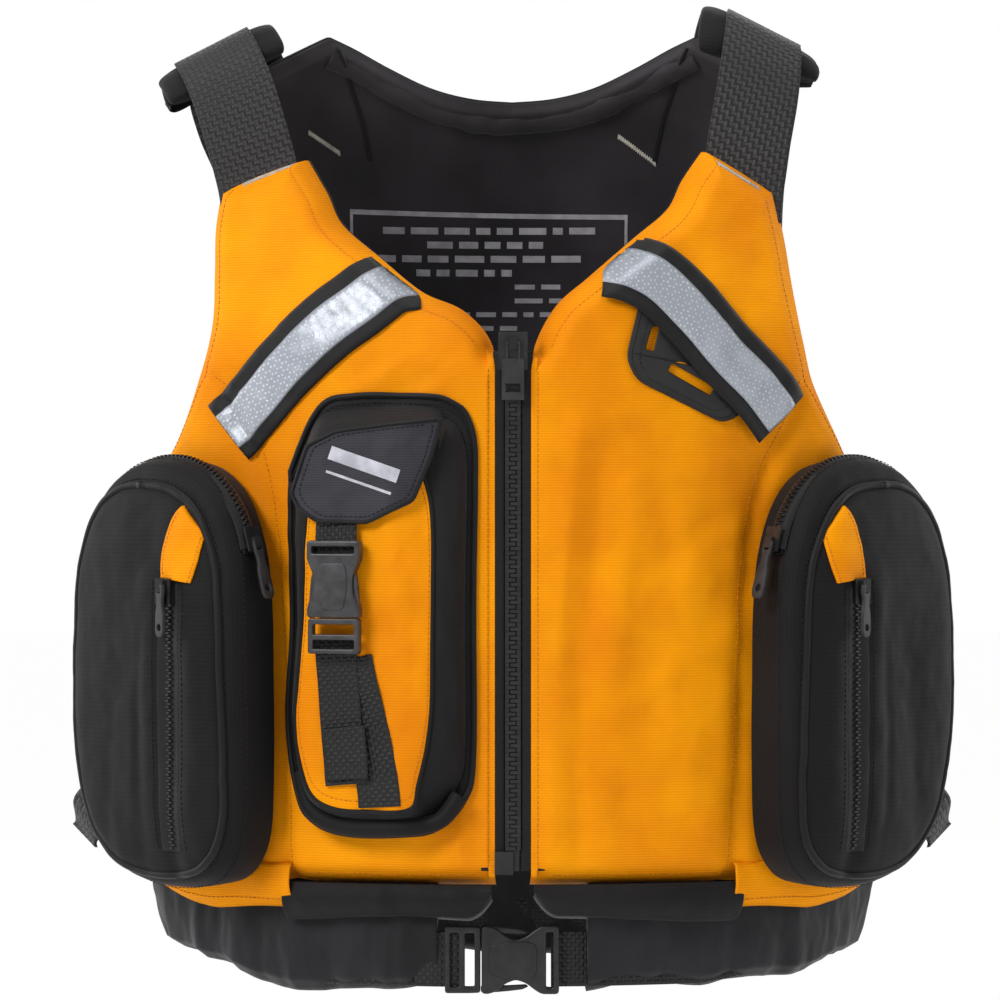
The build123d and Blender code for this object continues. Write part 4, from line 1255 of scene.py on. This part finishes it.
for side, name in ((-1, "right"), (1, "left")):
    line = smoothCurve(shoulders["webbing"][side], 150)
    # from the crest down the back it lies on the back's own surface
    for i in range(len(line)):
        away = line[i, 1]
        if away > 50:
            sAt = roundAt(line[i, 0])
            laid = layOn("back", sAt, line[i, 2], 3.0, True)
            share = min((away - 50) / 16, 1.0)
            line[i] = line[i] * (1 - share) + laid * share
    ahead, across, normals = shoulderFrame(side, line)
    # its face turns to the back's own slope where it lies on it
    rearS = np.array([roundAt(x) for x in line[:, 0]])
    facing = unit(wrap(rearS, line[:, 2], 60.0, True) - wrap(rearS, line[:, 2], 20.0, True))
    laidShare = np.clip((line[:, 1] - 46) / 22, 0, 1)[:, None]
    normals = unit(normals * (1 - laidShare) + facing * laidShare)
    normals = unit(normals - ahead * (ahead * normals).sum(1)[:, None])
    offNormal = normals * (across * normals).sum(1)[:, None]
    offAhead = ahead * (across * ahead).sum(1)[:, None]
    across = unit(across - offNormal - offAhead)
    webbing = ribbonMesh(f"shoulderWebbing_{name}", line, across, normals, shoulders["width"],
        shoulders["thickness"], wideWebbing, None, nodes=(f"front_webbing_{name}",), slot="webbing")
    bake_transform(webbing)
    # pad under the webbing over the crest: a crowned slab of black cloth
    rows, columns = 60, 44
    padLine = line[slice(*shoulders["padSpan"])]
    steps = np.arange(len(padLine))
    at = np.linspace(0, len(padLine) - 1, rows)
    padLine = np.stack([np.interp(at, steps, padLine[:, k]) for k in range(3)], 1)
    ahead, across, normals = shoulderFrame(side, padLine)
    turn = 2 * math.pi * np.arange(columns) / columns
    ends = rounded(np.minimum(np.arange(rows), np.arange(rows)[::-1]) + 0.6, 5)
    flatX = np.sign(np.cos(turn)) * np.abs(np.cos(turn)) ** 0.45 * shoulders["padWidth"] / 2
    flatY = np.sign(np.sin(turn)) * np.abs(np.sin(turn)) ** 0.75 * shoulders["padThick"] / 2
    spots = across[:, None] * flatX[None, :, None] * (0.9 + 0.1 * ends[:, None, None])
    spots = padLine[:, None] + spots
    puff = 1 + 0.14 * wobble(spots, 24, 81 + side)
    rise = (flatY[None] * puff * ends[:, None])[..., None] - shoulders["padThick"] / 2 - 1.4
    pad = spots + normals[:, None] * rise
    padUv = pairs(np.arange(columns)[None] * 4.0, np.arange(rows)[:, None] * 2.4)
    padPiece = showPiece(f"shoulderPad_{name}", pad.reshape(-1, 3), cappedFaces(rows, columns),
        pocketBlack, "back", uvs=padUv.reshape(-1, 2),
        nodes=("shoulder_pads", "rear_webbing") if side < 0 else (), slot="black_fabric")
    # pale zigzag bar where the webbing is sewn into the orange front
    x0, z0, x1, z1 = (-167, -84, -139, -73) if side < 0 else (126, -72, 151, -87)
    t = np.linspace(0, 1, 161)
    zigZ = z0 + (z1 - z0) * t + 1.5 * (2 * np.abs((t * 20) % 1 * 2 - 1) - 1)
    dense = layOn(name, np.array([roundAt(x) for x in x0 + (x1 - x0) * t]), zigZ, 0.35)
    tubeMesh(f"frontBartack_{name}", [dense], shoulders["zigzag"], threadPale, f"front_{name}", sides=5)
print("shoulders made")


# inside of the back: yoke, rolled neckline and a plain printed frame

prints = {"left": -116.0, "right": 82.0, "top": -93.0, "foot": -215.0, "line": 3.0}
rng = np.random.default_rng(7)
printParts = []


def printBar(s0, z0, s1, z1, width):
    a, b = np.array([s0, z0], float), np.array([s1, z1], float)
    ahead = unit(b - a)
    up = np.array([-ahead[1], ahead[0]])
    t = np.linspace(0, 1, 40)[:, None, None]
    u = np.linspace(-width / 2, width / 2, 3)[None, :, None]
    places = a + (b - a) * t + up * u
    printParts.append((layInside(places[..., 0], places[..., 1], 0.25), places, False))


def layInside(s, z, lift):
    s, z, lift = np.broadcast_arrays(*(np.asarray(v, float) for v in (s, z, lift)))
    near, far = wrap(s, z, -60.0, True), wrap(s, z, 30.0, True)
    return castOnto("inside", near, far, lift, lambda o, n: o + (n - o) * 0.68)


keepSeat("inside", backLining)
printBar(prints["left"], prints["top"], prints["right"], prints["top"] - 3, prints["line"])
printBar(prints["right"] - 1, prints["top"] - 2, prints["right"] - 1, prints["foot"],
    prints["line"] * 0.7)
printBar(prints["left"] + 1, prints["top"] - 1, prints["left"] + 1, prints["foot"],
    prints["line"] * 0.7)
printRows = ((-92, 62), (-60, 22), (-96, 50), (-68, 10), (2, 44), (2, 50), (-44, 30), (-44, 12))
for row, (left, right) in enumerate(printRows):
    height = prints["top"] - 11 - row * 8.6
    at = left
    while at < right - 6:
        long = float(rng.uniform(7, 21))
        printBar(at, height, min(at + long, right), height - 0.1, 4.2 if row < 4 else 3.0)
        at += long + 4.5
joinedMesh("backPrint", printParts, printWhite, "back", slot="black_fabric")
rollKeys = [
    (-126, 9), (-108, 2), (-84, -9), (-56, -20), (-28, -26), (0, -28), (28, -26), (56, -20), (84, -9),
    (108, 2), (126, 9),
]
rollLine2 = chestLine(rollKeys, 160)
rollPlace = wrap(rollLine2[:, 0], rollLine2[:, 1] - 9, 2.5, True)
turn = 2 * math.pi * np.arange(16) / 16
ahead = unit(np.gradient(rollPlace, axis=0))
rollS, rollZ = rollLine2[:, 0], rollLine2[:, 1] - 9
outwards = unit(wrap(rollS, rollZ, 30, True) - wrap(rollS, rollZ, 0, True))
rise = unit(np.cross(ahead, outwards))
rise = rise * np.sign((rise @ np.array([0, 0, 1.0])).sum())
spots = rollPlace[:, None] + rise[:, None] * (np.cos(turn) * 9)[None, :, None]
spots = spots + outwards[:, None] * (np.sin(turn) * 6.5)[None, :, None]
spots = spots + unit(spots - rollPlace[:, None]) * (1.5 * wobble(spots, 20, 91))[..., None]
rollUv = pairs(np.arange(16)[None] * 3.2, np.arange(160)[:, None] * 2.0)
neckRoll = showPiece("neckRoll", spots.reshape(-1, 3), cappedFaces(160, 16), lining, "back",
    uvs=rollUv.reshape(-1, 2), slot="liner_fabric")
for side, name in ((-1, "right"), (1, "left")):
    # yoke gore between the neckline and the pad, with a pale bar of stitches
    keys = [(side * x, z) for x, z in (((74, -47), (82, -52), (91, -58), (100, -64))
        if side > 0 else ((120, -58), (127, -54), (134, -50), (141, -46)))]
    base = chestLine(keys, 41)
    zig = []
    for i, (s0, z0) in enumerate(base):
        zig.append(layInside(s0, z0 + (1.5 if i % 2 else -1.5), 0.6))
    zig = np.array(zig)
    dense = np.stack([np.interp(np.linspace(0, 40, 161), np.arange(41), zig[:, k]) for k in range(3)],
        1)
    tubeMesh(f"yokeBartack_{name}", [dense], shoulders["zigzag"], threadPale, "back", sides=5)
    gore = smoothCurve([(roundAt(side * x), z) for x,
        z in ((122, 4), (112, -18), (104, -40), (99, -62))], 40)
    tubeMesh(f"yokeSeam_{name}", [layInside(gore[:, 0], gore[:, 1], 0.2)], 1.5, edgingBlack, "back",
        sides=8, slot="black_fabric")
print("yoke made")


# hems, gathered waistband and belts

waist = {
    "hemTop": -496.0,
    "hemFoot": -519.0,
    "bandTop": -490.0,
    # the front waistband's lower edge, distance round and height
    "foot": [
        (40, -557), (56, -557), (95, -558), (125, -560), (172, -557), (205, -551), (240, -545),
        (290, -542), (330, -543),
    ],
    "bandDepth": 14.6,
    "beltZ": -541.0,
}

for side, name in ((-1, "right"), (1, "left")):
    body = f"front_{name}"
    start, finish = 12.5, 141.0
    columns, rows = 150, 22
    s = np.linspace(start, finish, columns)[None, :] + np.zeros((rows, 1))
    t = np.linspace(0, 1, rows)[:, None]
    corner = np.clip((s - start) / 17, 0, 1)
    foot = waist["hemFoot"] + 1.5 * np.sin(s / 31 + side) - 3.5 * np.clip((s - 60) / 120, 0, 1)
    foot = foot + 13 * (1 - corner) ** 2
    z = waist["hemTop"] * (1 - t) + foot * t
    spots = onPlane(s * side, z)
    crumple = wobble(spots * np.array([1, 0.6, 1]), 26, 95 + side) * np.sin(t * math.pi * 0.9 + 0.2)
    depth = 31.0 + 3.8 * np.sin(t * math.pi) - 9.0 * t**2.2 + 2.0 * crumple
    depth -= 14 * np.clip(t - 0.86, 0, 1) / 0.14
    hem = gridPiece(f"hemCloth_{name}", wrap(s * side, z, depth), np.stack([s, z], -1), black, body,
        flip=side > 0, nodes=(f"hem_{name}",), slot="black_fabric")
    clothSheet(np.stack([s, z * 1.75], -1))
    thicken(hem, 1.2)
    # the orange side hangs lower than the hem, and stands off behind the pocket
    s2 = np.linspace(135, quarterLength - 2, 110)[None, :] + np.zeros((18, 1))
    t2 = np.linspace(0, 1, 18)[:, None]
    lower = -513 + 26 * np.clip((s2 - 190) / (quarterLength - 192), 0, 1) ** 1.4 + 1.5 * np.sin(s2 / 19)
    z2 = (-485 + 7 * np.clip((s2 - 150) / 30, 0, 1)) * (1 - t2) + lower * t2
    spots = onPlane(s2 * side, z2)
    bulge = 13 * np.clip((s2 - 205) / 60, 0, 1) ** 1.2
    swell = (bulge + 2.4) * np.sin(np.clip(t2 * 1.15, 0, 1) * math.pi * 0.75)
    depth = 34.6 + swell - 10 * t2**4 + 1.6 * wobble(spots, 24, 98 + side)
    depth = np.where(t2 < 0.02, 32.0, depth)
    skirt = gridPiece(f"sideFoot_{name}", wrap(s2 * side, z2, depth), np.stack([s2, z2], -1), orange,
        body, flip=side > 0, slot="orange_shell")
    clothSheet(np.stack([s2, z2 * 1.3], -1))
    thicken(skirt, 1.0)
    line = wrap(s2[14] * side, z2[14], depth[14] + 0.3)
    stitchRow(f"sideFootStitches_{name}", [line], threadOrange, body)


def waistCloth(name, s0, s1, body, nodes, back, seed):
    columns, rows = max(90, int(abs(s1 - s0) / 1.5)), 40
    s = np.linspace(s0, s1, columns)[None, :] + np.zeros((rows, 1))
    t = np.linspace(0, 1, rows)[:, None]
    spots = np.stack([s, t * 40 + s * 0, s * 0], -1)
    scallop = 5.0 * np.sin(s / 34 + seed) + 2.6 * np.sin(s / 13.0 + seed * 2)
    away = np.abs(s)
    if back:
        foot = np.interp(away, [0, 200, quarterLength], [-560, -557, -538])
    else:
        foot = np.interp(away, *zip(*waist["foot"]))
    flare = 0 if back else 15 * np.clip((away - 215) / 60, 0, 1) * np.clip(1 - t * 0.9, 0, 1)
    z = waist["bandTop"] * (1 - t) + (foot + scallop * 0.55) * t
    gather = np.sin(s / 6.1 + 2.2 * wobble(spots * np.array([1, 0.2, 1]), 40, seed))
    bunch = (1 - 0.75 * np.sin(np.clip(t, 0, 1) * math.pi) ** 0.8)
    depth = waist["bandDepth"] + 1.9 * gather * (0.3 + 0.7 * bunch) + 3.4 * np.sin(t * math.pi)
    depth += 2.0 * wobble(spots * np.array([1, 0.7, 1]), 22, seed + 2)
    depth += 1.2 * hollow(z - waist["beltZ"], 13) + flare
    depth -= 7 * np.clip(t - 0.9, 0, 1) / 0.1
    piece = gridPiece(name, wrap(s, z, depth, back), np.stack([s, z], -1), charcoal, body,
        flip=(not back), nodes=nodes, slot="charcoal_fabric")
    thicken(piece, 6.0)
    return piece


for side, name in ((-1, "right"), (1, "left")):
    s0, s1 = sorted((side * 47.0, side * (quarterLength - 4)))
    waistCloth(f"waistCloth_{name}", s0, s1, f"front_{name}", (f"waistband_{name}",), False, 3 + side)
waistCloth("waistbandBack", -(quarterLength - 1), quarterLength - 1, "back", ("waistband_back",), True,
    9)
print("waist made")


def plateMesh(name, outlines, thick, bevel, place, material, body, resolution=3, **rest):
    # a flat moulded part from closed outlines, the first one outside and the rest holes
    curve = bpy.data.curves.new(name, "CURVE")
    curve.dimensions = "2D"
    curve.fill_mode = "BOTH"
    curve.extrude = (thick / 2 - bevel) * mm
    curve.bevel_depth = bevel * mm
    curve.bevel_resolution = resolution
    curve.offset = -bevel * mm
    for outline in outlines:
        spline = curve.splines.new("POLY")
        spline.points.add(len(outline) - 1)
        for point, (u, v) in zip(spline.points, outline):
            point.co = (u * mm, v * mm, 0, 1)
        spline.use_cyclic_u = True
    made = bpy.data.objects.new(name + "Curve", curve)
    mesh = bpy.data.meshes.new_from_object(made)
    bpy.data.objects.remove(made)
    bm = bmesh.new()
    bm.from_mesh(mesh)
    bmesh.ops.remove_doubles(bm, verts=bm.verts, dist=0.00002)
    bmesh.ops.recalc_face_normals(bm, faces=bm.faces)
    for vert in bm.verts:
        vert.co = Vector(place(*(c / mm for c in vert.co))) * mm
    bm.to_mesh(mesh)
    bm.free()
    mesh.materials.clear()
    mesh.materials.append(material)
    mesh.polygons.foreach_set("use_smooth", [True] * len(mesh.polygons))
    mesh.set_sharp_from_angle(angle=math.radians(40))
    piece = bpy.data.objects.new(name, mesh)
    bpy.context.collection.objects.link(piece)
    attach(piece, body)
    if "nodes" in rest:
        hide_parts(*rest["nodes"])
    return piece


def mirrored(points):
    return points + [(-u, v) for u, v in points[::-1]]


def planePlace(origin, across, up, normal):
    origin, across, up, normal = (np.asarray(v, float) for v in (origin, across, up, normal))
    return lambda u, v, h: origin + across * u + up * v + normal * h


buckle = {
    "female": mirrored(
    [(16, 0), (16, -10), (14.6, -14), (12.4, -19), (11.6, -25), (12.4, -31), (15.0, -36), (16, -41),
    (15.6, -44.4)]),
    "slot": [(-13, -3.4), (13, -3.4), (13, -7.4), (-13, -7.4)],
    "panel": mirrored([(7.5, -13), (8.6, -19), (8.6, -30), (6.5, -40)]),
    "ladder": mirrored([(15.4, -45.0), (15.6, -52), (15.6, -65.4)]),
    "bars": [[(-12.6, -48.4), (12.6, -48.4), (12.6, -54.2), (-12.6, -54.2)],
    [(-12.6, -57.4), (12.6, -57.4), (12.6, -62.6), (-12.6, -62.6)]],
    "prong": [
        (12.2, -44.8), (15.2, -44.8), (15.2, -36), (14.6, -28), (13.9, -21), (12.6, -17.5), (11.6, -19),
        (12.0, -28), (12.2, -36),
    ],
    "thick": 8.2,
}


def sideBuckle(name, origin, across, up, normal, scale, femaleBody, maleBody, femaleNode, maleNode,
        waisted=0.0, finish=buckleGrey):
    # a two-part side release buckle: outlines in the plane, scaled to its webbing
    wide, tall, thick = scale
    place = planePlace(origin, np.asarray(across) * wide, np.asarray(up) * tall, normal)
    sized = buckle["thick"] * thick
    pinch = [waisted * max(0.0, 1 - abs(v + 24) / 13) for _, v in buckle["female"]]
    female = [(u - math.copysign(inward, u), v) for (u, v), inward in zip(buckle["female"], pinch)]
    plateMesh(f"{name}Female", [softCorners(female, 2.2), softCorners(buckle["slot"], 1.0)], sized,
        1.1, place, finish, femaleBody, nodes=(femaleNode,), slot="buckle_plastic")
    above = np.asarray(origin) + np.asarray(normal) * (sized / 2 + 0.2)
    raised = planePlace(above, np.asarray(across) * wide, np.asarray(up) * tall, normal)
    plateMesh(f"{name}Panel", [softCorners(buckle["panel"], 3.0)], 1.2, 0.5, raised, finish,
        femaleBody, slot="buckle_plastic")
    ladder = [softCorners(buckle["ladder"], 1.6)] + [softCorners(bar, 0.9) for bar in buckle["bars"]]
    plateMesh(f"{name}Ladder", ladder, sized * 0.72, 0.8, place, finish, maleBody, nodes=(maleNode,),
        slot="buckle_plastic")
    for flip, word in ((1, "A"), (-1, "B")):
        prong = [(u * flip, v) for u, v in buckle["prong"]]
        plateMesh(f"{name}Prong{word}", [softCorners(prong, 0.8)], 3.6 * thick, 0.6, place, finish,
            maleBody, slot="buckle_plastic")


shellRadius = arcRadius + torso["shellDepth"]
at = shellRadius * math.asin(103 / (arcRadius + 65.0))
origin = wrap(-at, -296.0, 65.0)
normal = unit(wrap(-at, -296.0, 66.0) - wrap(-at, -296.0, 60.0))
across = unit(np.cross([0, 0, 1.0], normal))
sideBuckle("chestBuckle", origin, across, [0, 0, 1.0], normal, (1.0, 1.0, 1.0), "front_right",
    "chest_buckle_male", "chest_buckle_female", "chest_buckle_male")
# the waist buckle lies across, its male half towards the wearer's right
sideBuckle("waistBuckle", (27.0, -128.5, waist["beltZ"]), [0, 0, 1.0], [1.0, 0, 0], [0, -1.0, 0],
    (1.25, 1.02, 1.08), "front_left", "waist_buckle_male", "waist_buckle_female", "waist_buckle_male",
    2.6, zipBlack)
print("buckles made")


belts = {"width": 32.0, "thickness": 1.8, "depth": 13.3, "z": waist["beltZ"]}


def beltLine(s0, s1, back, count=120, depth=None):
    s = np.linspace(s0, s1, count)
    z = belts["z"] + 27 * np.clip((np.abs(s) - 120) / 150, 0, 1) ** 1.2
    line = wrap(s, z, (depth or belts["depth"]) - 0.9 * np.clip((np.abs(s) - 50) / 20, 0, 1), back)
    normals = unit(wrap(s, z, 30.0, back) - wrap(s, z, 10.0, back))
    ahead = unit(np.gradient(line, axis=0))
    across = unit(np.cross(normals, ahead))
    return line, across, normals


for name, s0, s1, body, node in (("Left", 24.0, quarterLength - 22, "front_left", "belt_left"),
        ("Right", -(quarterLength - 22), -46.0, "front_right", "belt_right")):
    line, across, normals = beltLine(s0, s1, False)
    ribbonMesh(f"belt{name}", line, across, normals, belts["width"], belts["thickness"], narrowWebbing,
        body, nodes=(node,), slot="webbing")
line, across, normals = beltLine(-(quarterLength - 22), quarterLength - 22, True)
ribbonMesh("beltBack", line, across, normals, belts["width"], belts["thickness"], narrowWebbing,
    "back", nodes=("belt_back",), slot="webbing")
# the belt's returning end on the male side, tucked in its ladder
line, across, normals = beltLine(-62.0, -30.0, False, 30, 15.8)
ribbonMesh("beltFold", line, across, normals, belts["width"], 1.6, narrowWebbing, "waist_buckle_male",
    slot="webbing")


# main zip: tapes under the orange edges; its teeth, slider, pull and box keep their own shapes
for side, name in ((-1, "right"), (1, "left")):
    z = np.linspace(-488, -186, 160)[:, None]
    x = np.array([4.2, 6, 9, 12, 15, 18.5])[None, :] * np.where(z > -196, 0.62, 1.0)
    y = -147.9 + 0.12 * np.sin(z / 3.0) * np.clip((x - 4) / 6, 0, 1)
    y = y + np.array([0.2, 0, 0, 0.2, 0.6, 1.0])[None, :]
    tape = gridPiece(f"zipTape_{name}", np.stack([x * side, y, z + x * 0], -1),
        np.stack([x, z + x * 0], -1), edgingBlack, f"front_{name}", flip=side < 0,
        nodes=(f"zip_tape_{name}",), slot="zip_tape")
    thicken(tape, 0.7)
    zz = np.linspace(-492, -196, 200)
    edge = layOn(name, np.full(200, side * 14.6), zz, 0.25)
    stitchRow(f"zipStitches_{name}", [edge], threadOrange, f"front_{name}", spacing=3.2, length=2.0,
        radius=0.28)


grip = {
    "rim": mirrored(
    [(3.0, 1.2), (3.4, -1.0), (3.4, -4.6), (2.5, -7.5), (2.7, -11), (3.9, -15), (4.3, -21),
    (4.2, -26.5), (2.6, -29.6)]),
    "loop": [(-1.7, -0.8), (1.7, -0.8), (1.7, -3.8), (-1.7, -3.8)],
    "hole": [(2.0 * math.cos(t), -24 + 2.0 * math.sin(t))
    for t in np.linspace(0, 2 * math.pi, 25)[:-1]],
    "thick": 2.4,
}
for side, name in ((-1, "right"), (1, "left")):
    low, high = (np.array(corner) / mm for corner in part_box(f"face_pull_{name}"))
    middle = (low + high) / 2
    lean = joinAngle
    normal = np.array([side * math.cos(lean), -math.sin(lean), 0])
    across = np.array([side * math.sin(lean), math.cos(lean), 0])
    place = planePlace((middle[0], middle[1], -323.0), across, [0, 0, 1.0], normal)
    outlines = [softCorners(grip["rim"], 1.4), softCorners(grip["loop"], 0.6), grip["hole"]]
    plateMesh(f"facePull_{name}", outlines, grip["thick"], 0.5, place, pullRubber, f"face_pull_{name}",
        nodes=(f"face_pull_{name}",), slot="pull_plastic")
    # the arch pull hangs along the side of the pocket from the slider's rest angle
    turn = math.radians(18)
    facing = pocketPlace(side, 0, 0, 1) - pocketPlace(side, 0, 0, 0)
    sideways = pocketPlace(side, 1, 0, 0) - pocketPlace(side, 0, 0, 0)
    outward = -sideways * math.cos(turn) + np.array([0, 0, math.sin(turn)])
    upward = sideways * math.sin(turn) + np.array([0, 0, math.cos(turn)])
    hinge = pocketPlace(side, -73.1, -297.4, pockets["archDepth"])
    tall = 34.0 / 29.6
    plateMesh(f"archPull_{name}", outlines, grip["thick"], 0.5,
        planePlace(hinge, facing, upward * tall, outward), pullRubber, f"arch_pull_{name}",
        nodes=(f"arch_pull_{name}",), slot="pull_plastic")
print("pulls made")


# rubber lash tab with two slots, on the wearer's left front under the band
lash = {
    "outline": [(76, -150), (66, -190), (72, -203), (124, -228), (136, -222), (140, -204), (112, -166)],
    "slots": [[(81.5, -172), (86.0, -170.6), (82.4, -186), (77.6, -185)],
    [(90.5, -197.5), (93.0, -193.0), (118.5, -206.5), (116.0, -211.4)]],
    "thick": 3.0,
}


def onFront(u, v, h):
    return layOn("left", roundAt(u), v, 2.2 + h)


tabOutlines = [softCorners(lash["outline"], 6.0)] + [softCorners(s, 1.2) for s in lash["slots"]]
plateMesh("lashTab", tabOutlines, lash["thick"], 0.9, onFront, tabRubber, "front_left",
    nodes=("lash_tab",), slot="rubber")
rim = np.array(softCorners(lash["outline"], 6.0))
rimMiddle = rim.mean(0)
for k, (share, radius) in enumerate(((0.945, 0.55), (0.80, 0.45))):
    inner = rimMiddle + (rim - rimMiddle) * share
    ring = np.array([layOn("left", roundAt(u), v, 3.75) for u, v in np.concatenate([inner, inner[:1]])])
    if k == 0:
        tubeMesh("lashTabRidge", [ring], radius, tabRubber, "front_left", sides=6, slot="rubber")
    else:
        stitchRow("lashTabStitches", [ring], threadBlack, "front_left", spacing=3.0, length=1.9,
            radius=0.26)


# side gussets under the arms, and side straps with their free ends; no adjusters are made here
for side, name in ((-1, "right"), (1, "left")):
    s = np.linspace(quarterLength - 56, quarterLength + 4, 44)[None, :]
    z = np.concatenate([np.linspace(-520, -300, 60), np.linspace(-296, -272, 16)])[:, None]
    s, z = np.broadcast_arrays(s, z)
    spots = onPlane(s * side, z)
    depth = 19.0 + 2.4 * wobble(spots * np.array([1, 0.4, 1]), 30, 111 + side)
    depth = depth + 2.0 * np.sin(s / 5.5) * 0.5
    depth = depth - 14 * np.clip((z + 288) / 16, 0, 1) ** 2
    gusset = gridPiece(f"sideGusset_{name}", wrap(s * side, z, depth, True), np.stack([s, z], -1),
        black, "back", flip=side > 0, nodes=("side_gussets",) if side < 0 else (), slot="black_fabric")
    thicken(gusset, 5.0)
    line2 = np.linspace(quarterLength - 150, quarterLength - 40, 80)
    strapZ = -458 + 2 * np.sin(line2 / 30)
    line = layOn("back", line2 * side, strapZ, 1.6, True)
    normals = unit(wrap(line2 * side, strapZ, 60, True) - wrap(line2 * side, strapZ, 20, True))
    ahead = unit(np.gradient(line, axis=0))
    ribbonMesh(f"sideStrap_{name}", line, unit(np.cross(normals, ahead)), normals, 38.0, 2.0,
        wideWebbing, "back", nodes=("side_straps",) if side < 0 else (), slot="webbing")
    # free end of the strap, standing off behind the pocket
    tailKeys = [(226, 44, -452), (238, 46, -455), (250, 43, -460), (260, 45, -468), (264, 48, -480)]
    tail = smoothCurve([(side * x, y, z) for x, y, z in tailKeys], 40)
    ahead = unit(np.gradient(tail, axis=0))
    across = unit(np.array([0, 0.25, 1.0]) - ahead * (ahead @ np.array([0, 0.25, 1.0]))[:, None])
    ribbonMesh(f"strapTail_{name}", tail, across, unit(np.cross(ahead, across)), 38.0, 2.2,
        wideWebbing, "back", slot="webbing")
print("sides made")


# stitch rows on the fronts and the seams beside the pockets
for side, name in ((-1, "right"), (1, "left")):
    body = f"front_{name}"
    seam = seamLine(side, 160)
    line = layOn(name, (seam[:, 0] - 3.4) * side, seam[:, 1], 0.25)
    stitchRow(f"seamStitches_{name}", [line], threadOrange, body)
    inner, outer = frontLines(side)
    # along the neckline and the armhole, a little in from the edge
    for word, edge, inwardWay in (("neck", inner[(inner[:, 1] > -182)], 1),
            ("arm", outer[outer[:, 1] > -250], -1)):
        ahead = unit(np.gradient(edge, axis=0))
        way = np.stack([ahead[:, 1], -ahead[:, 0]], 1) * inwardWay
        moved = edge + way * 9.0
        line = layOn(name, moved[:, 0] * side, moved[:, 1], 0.25)
        stitchRow(f"{word}Stitches_{name}", [line], threadOrange, body, radius=0.26)
    footS = np.linspace(22, 130, 110)
    line = layOn(name, footS * side, np.full(110, -491.0), 0.25)
    stitchRow(f"footStitches_{name}", [line], threadOrange, body, spacing=3.2, length=2.0)
print("stitches made")


# parts that keep their CAD shape get their finish
finishes = (("zip_teeth", zipBlack), ("zip_box", zipBlack), ("slider", sliderBlack),
    ("pull", pullRubber), ("adjuster", buckleGrey))
for node in sorted(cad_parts):
    shown = bpy.data.objects.get(node)
    if shown is None or shown.hide_render:
        continue
    for key, finish in finishes:
        if key in node:
            for materialSlot in shown.material_slots:
                materialSlot.material = finish
            break
    else:
        print("no finish for", node)
print("carried parts finished")

# camera, light and floor


stage = {
    "camera": (-0.0075, -3.15, -0.2726),
    "lens": 186.2,
    "sensor": 36,
    "aim": (0, 0, -0.28),
    "floorWide": 12.0,
    "floorZ": -0.66,
    "floorGlow": 0.98,  # share of the floor that glows white where the camera sees it
    # each lamp: place, size and power
    "lamps": {
        "key": ((-1.7, -2.0, 1.25), 1.1, 56.0),
        "fill": ((1.9, -2.2, 0.1), 1.6, 10.0),
        "top": ((0.1, -0.2, 1.7), 1.2, 16.0),
        "rimLeft": ((-2.0, 0.6, 0.2), 1.0, 14.0),
        "rimRight": ((2.0, 0.7, 0.2), 1.0, 14.0),
        "back": ((0.0, 2.6, 0.5), 1.6, 20.0),
    },
}


def setStage():
    camera = bpy.data.objects.new("camera", bpy.data.cameras.new("camera"))
    bpy.context.collection.objects.link(camera)
    camera.location = stage["camera"]
    camera.rotation_euler = (math.pi / 2, 0, 0)
    camera.data.lens = stage["lens"]
    camera.data.sensor_width = stage["sensor"]
    bpy.context.scene.camera = camera

    floorMesh = bpy.data.meshes.new("floor")
    wide, low = stage["floorWide"], stage["floorZ"]
    corners = [(-wide, -wide, low), (wide, -wide, low), (wide, wide, low), (-wide, wide, low)]
    floorMesh.from_pydata(corners, [], [(0, 1, 2, 3)])
    floor = bpy.data.objects.new("floor", floorMesh)
    bpy.context.collection.objects.link(floor)
    pale = bpy.data.materials.new("paleFloor")
    pale.use_nodes = True
    tree = pale.node_tree
    shader = tree.nodes["Principled BSDF"]
    shader.inputs["Base Color"].default_value = (0.97, 0.97, 0.97, 1)
    shader.inputs["Roughness"].default_value = 0.9
    glow = addNode(tree, "ShaderNodeEmission")
    glow.inputs["Strength"].default_value = 1.0
    path = addNode(tree, "ShaderNodeLightPath")
    seen = math2(tree, "MAXIMUM", path.outputs["Is Camera Ray"], path.outputs["Is Glossy Ray"])
    share = math2(tree, "MULTIPLY", seen, stage["floorGlow"])
    blend = addNode(tree, "ShaderNodeMixShader")
    tree.links.new(share, blend.inputs["Fac"])
    tree.links.new(shader.outputs["BSDF"], blend.inputs[1])
    tree.links.new(glow.outputs["Emission"], blend.inputs[2])
    tree.links.new(blend.outputs["Shader"], tree.nodes["Material Output"].inputs["Surface"])
    floorMesh.materials.append(pale)

    world = bpy.data.worlds.new("studio")
    bpy.context.scene.world = world
    world.use_nodes = True
    tree = world.node_tree
    path = addNode(tree, "ShaderNodeLightPath")
    strength = addNode(tree, "ShaderNodeMapRange")
    strength.inputs["To Min"].default_value = 0.30
    strength.inputs["To Max"].default_value = 1.0
    tree.links.new(path.outputs["Is Camera Ray"], strength.inputs["Value"])
    backdrop = tree.nodes["Background"]
    backdrop.inputs["Color"].default_value = (1, 1, 1, 1)
    tree.links.new(strength.outputs["Result"], backdrop.inputs["Strength"])

    for name, (place, size, power) in stage["lamps"].items():
        lamp = bpy.data.lights.new(name, "AREA")
        lamp.size = size
        lamp.energy = power
        holder = bpy.data.objects.new(name, lamp)
        bpy.context.collection.objects.link(holder)
        holder.location = place
        aim = Vector(stage["aim"]) - Vector(place)
        holder.rotation_euler = aim.to_track_quat("-Z", "Y").to_euler()
    bpy.context.scene.view_settings.view_transform = "Standard"


setStage()
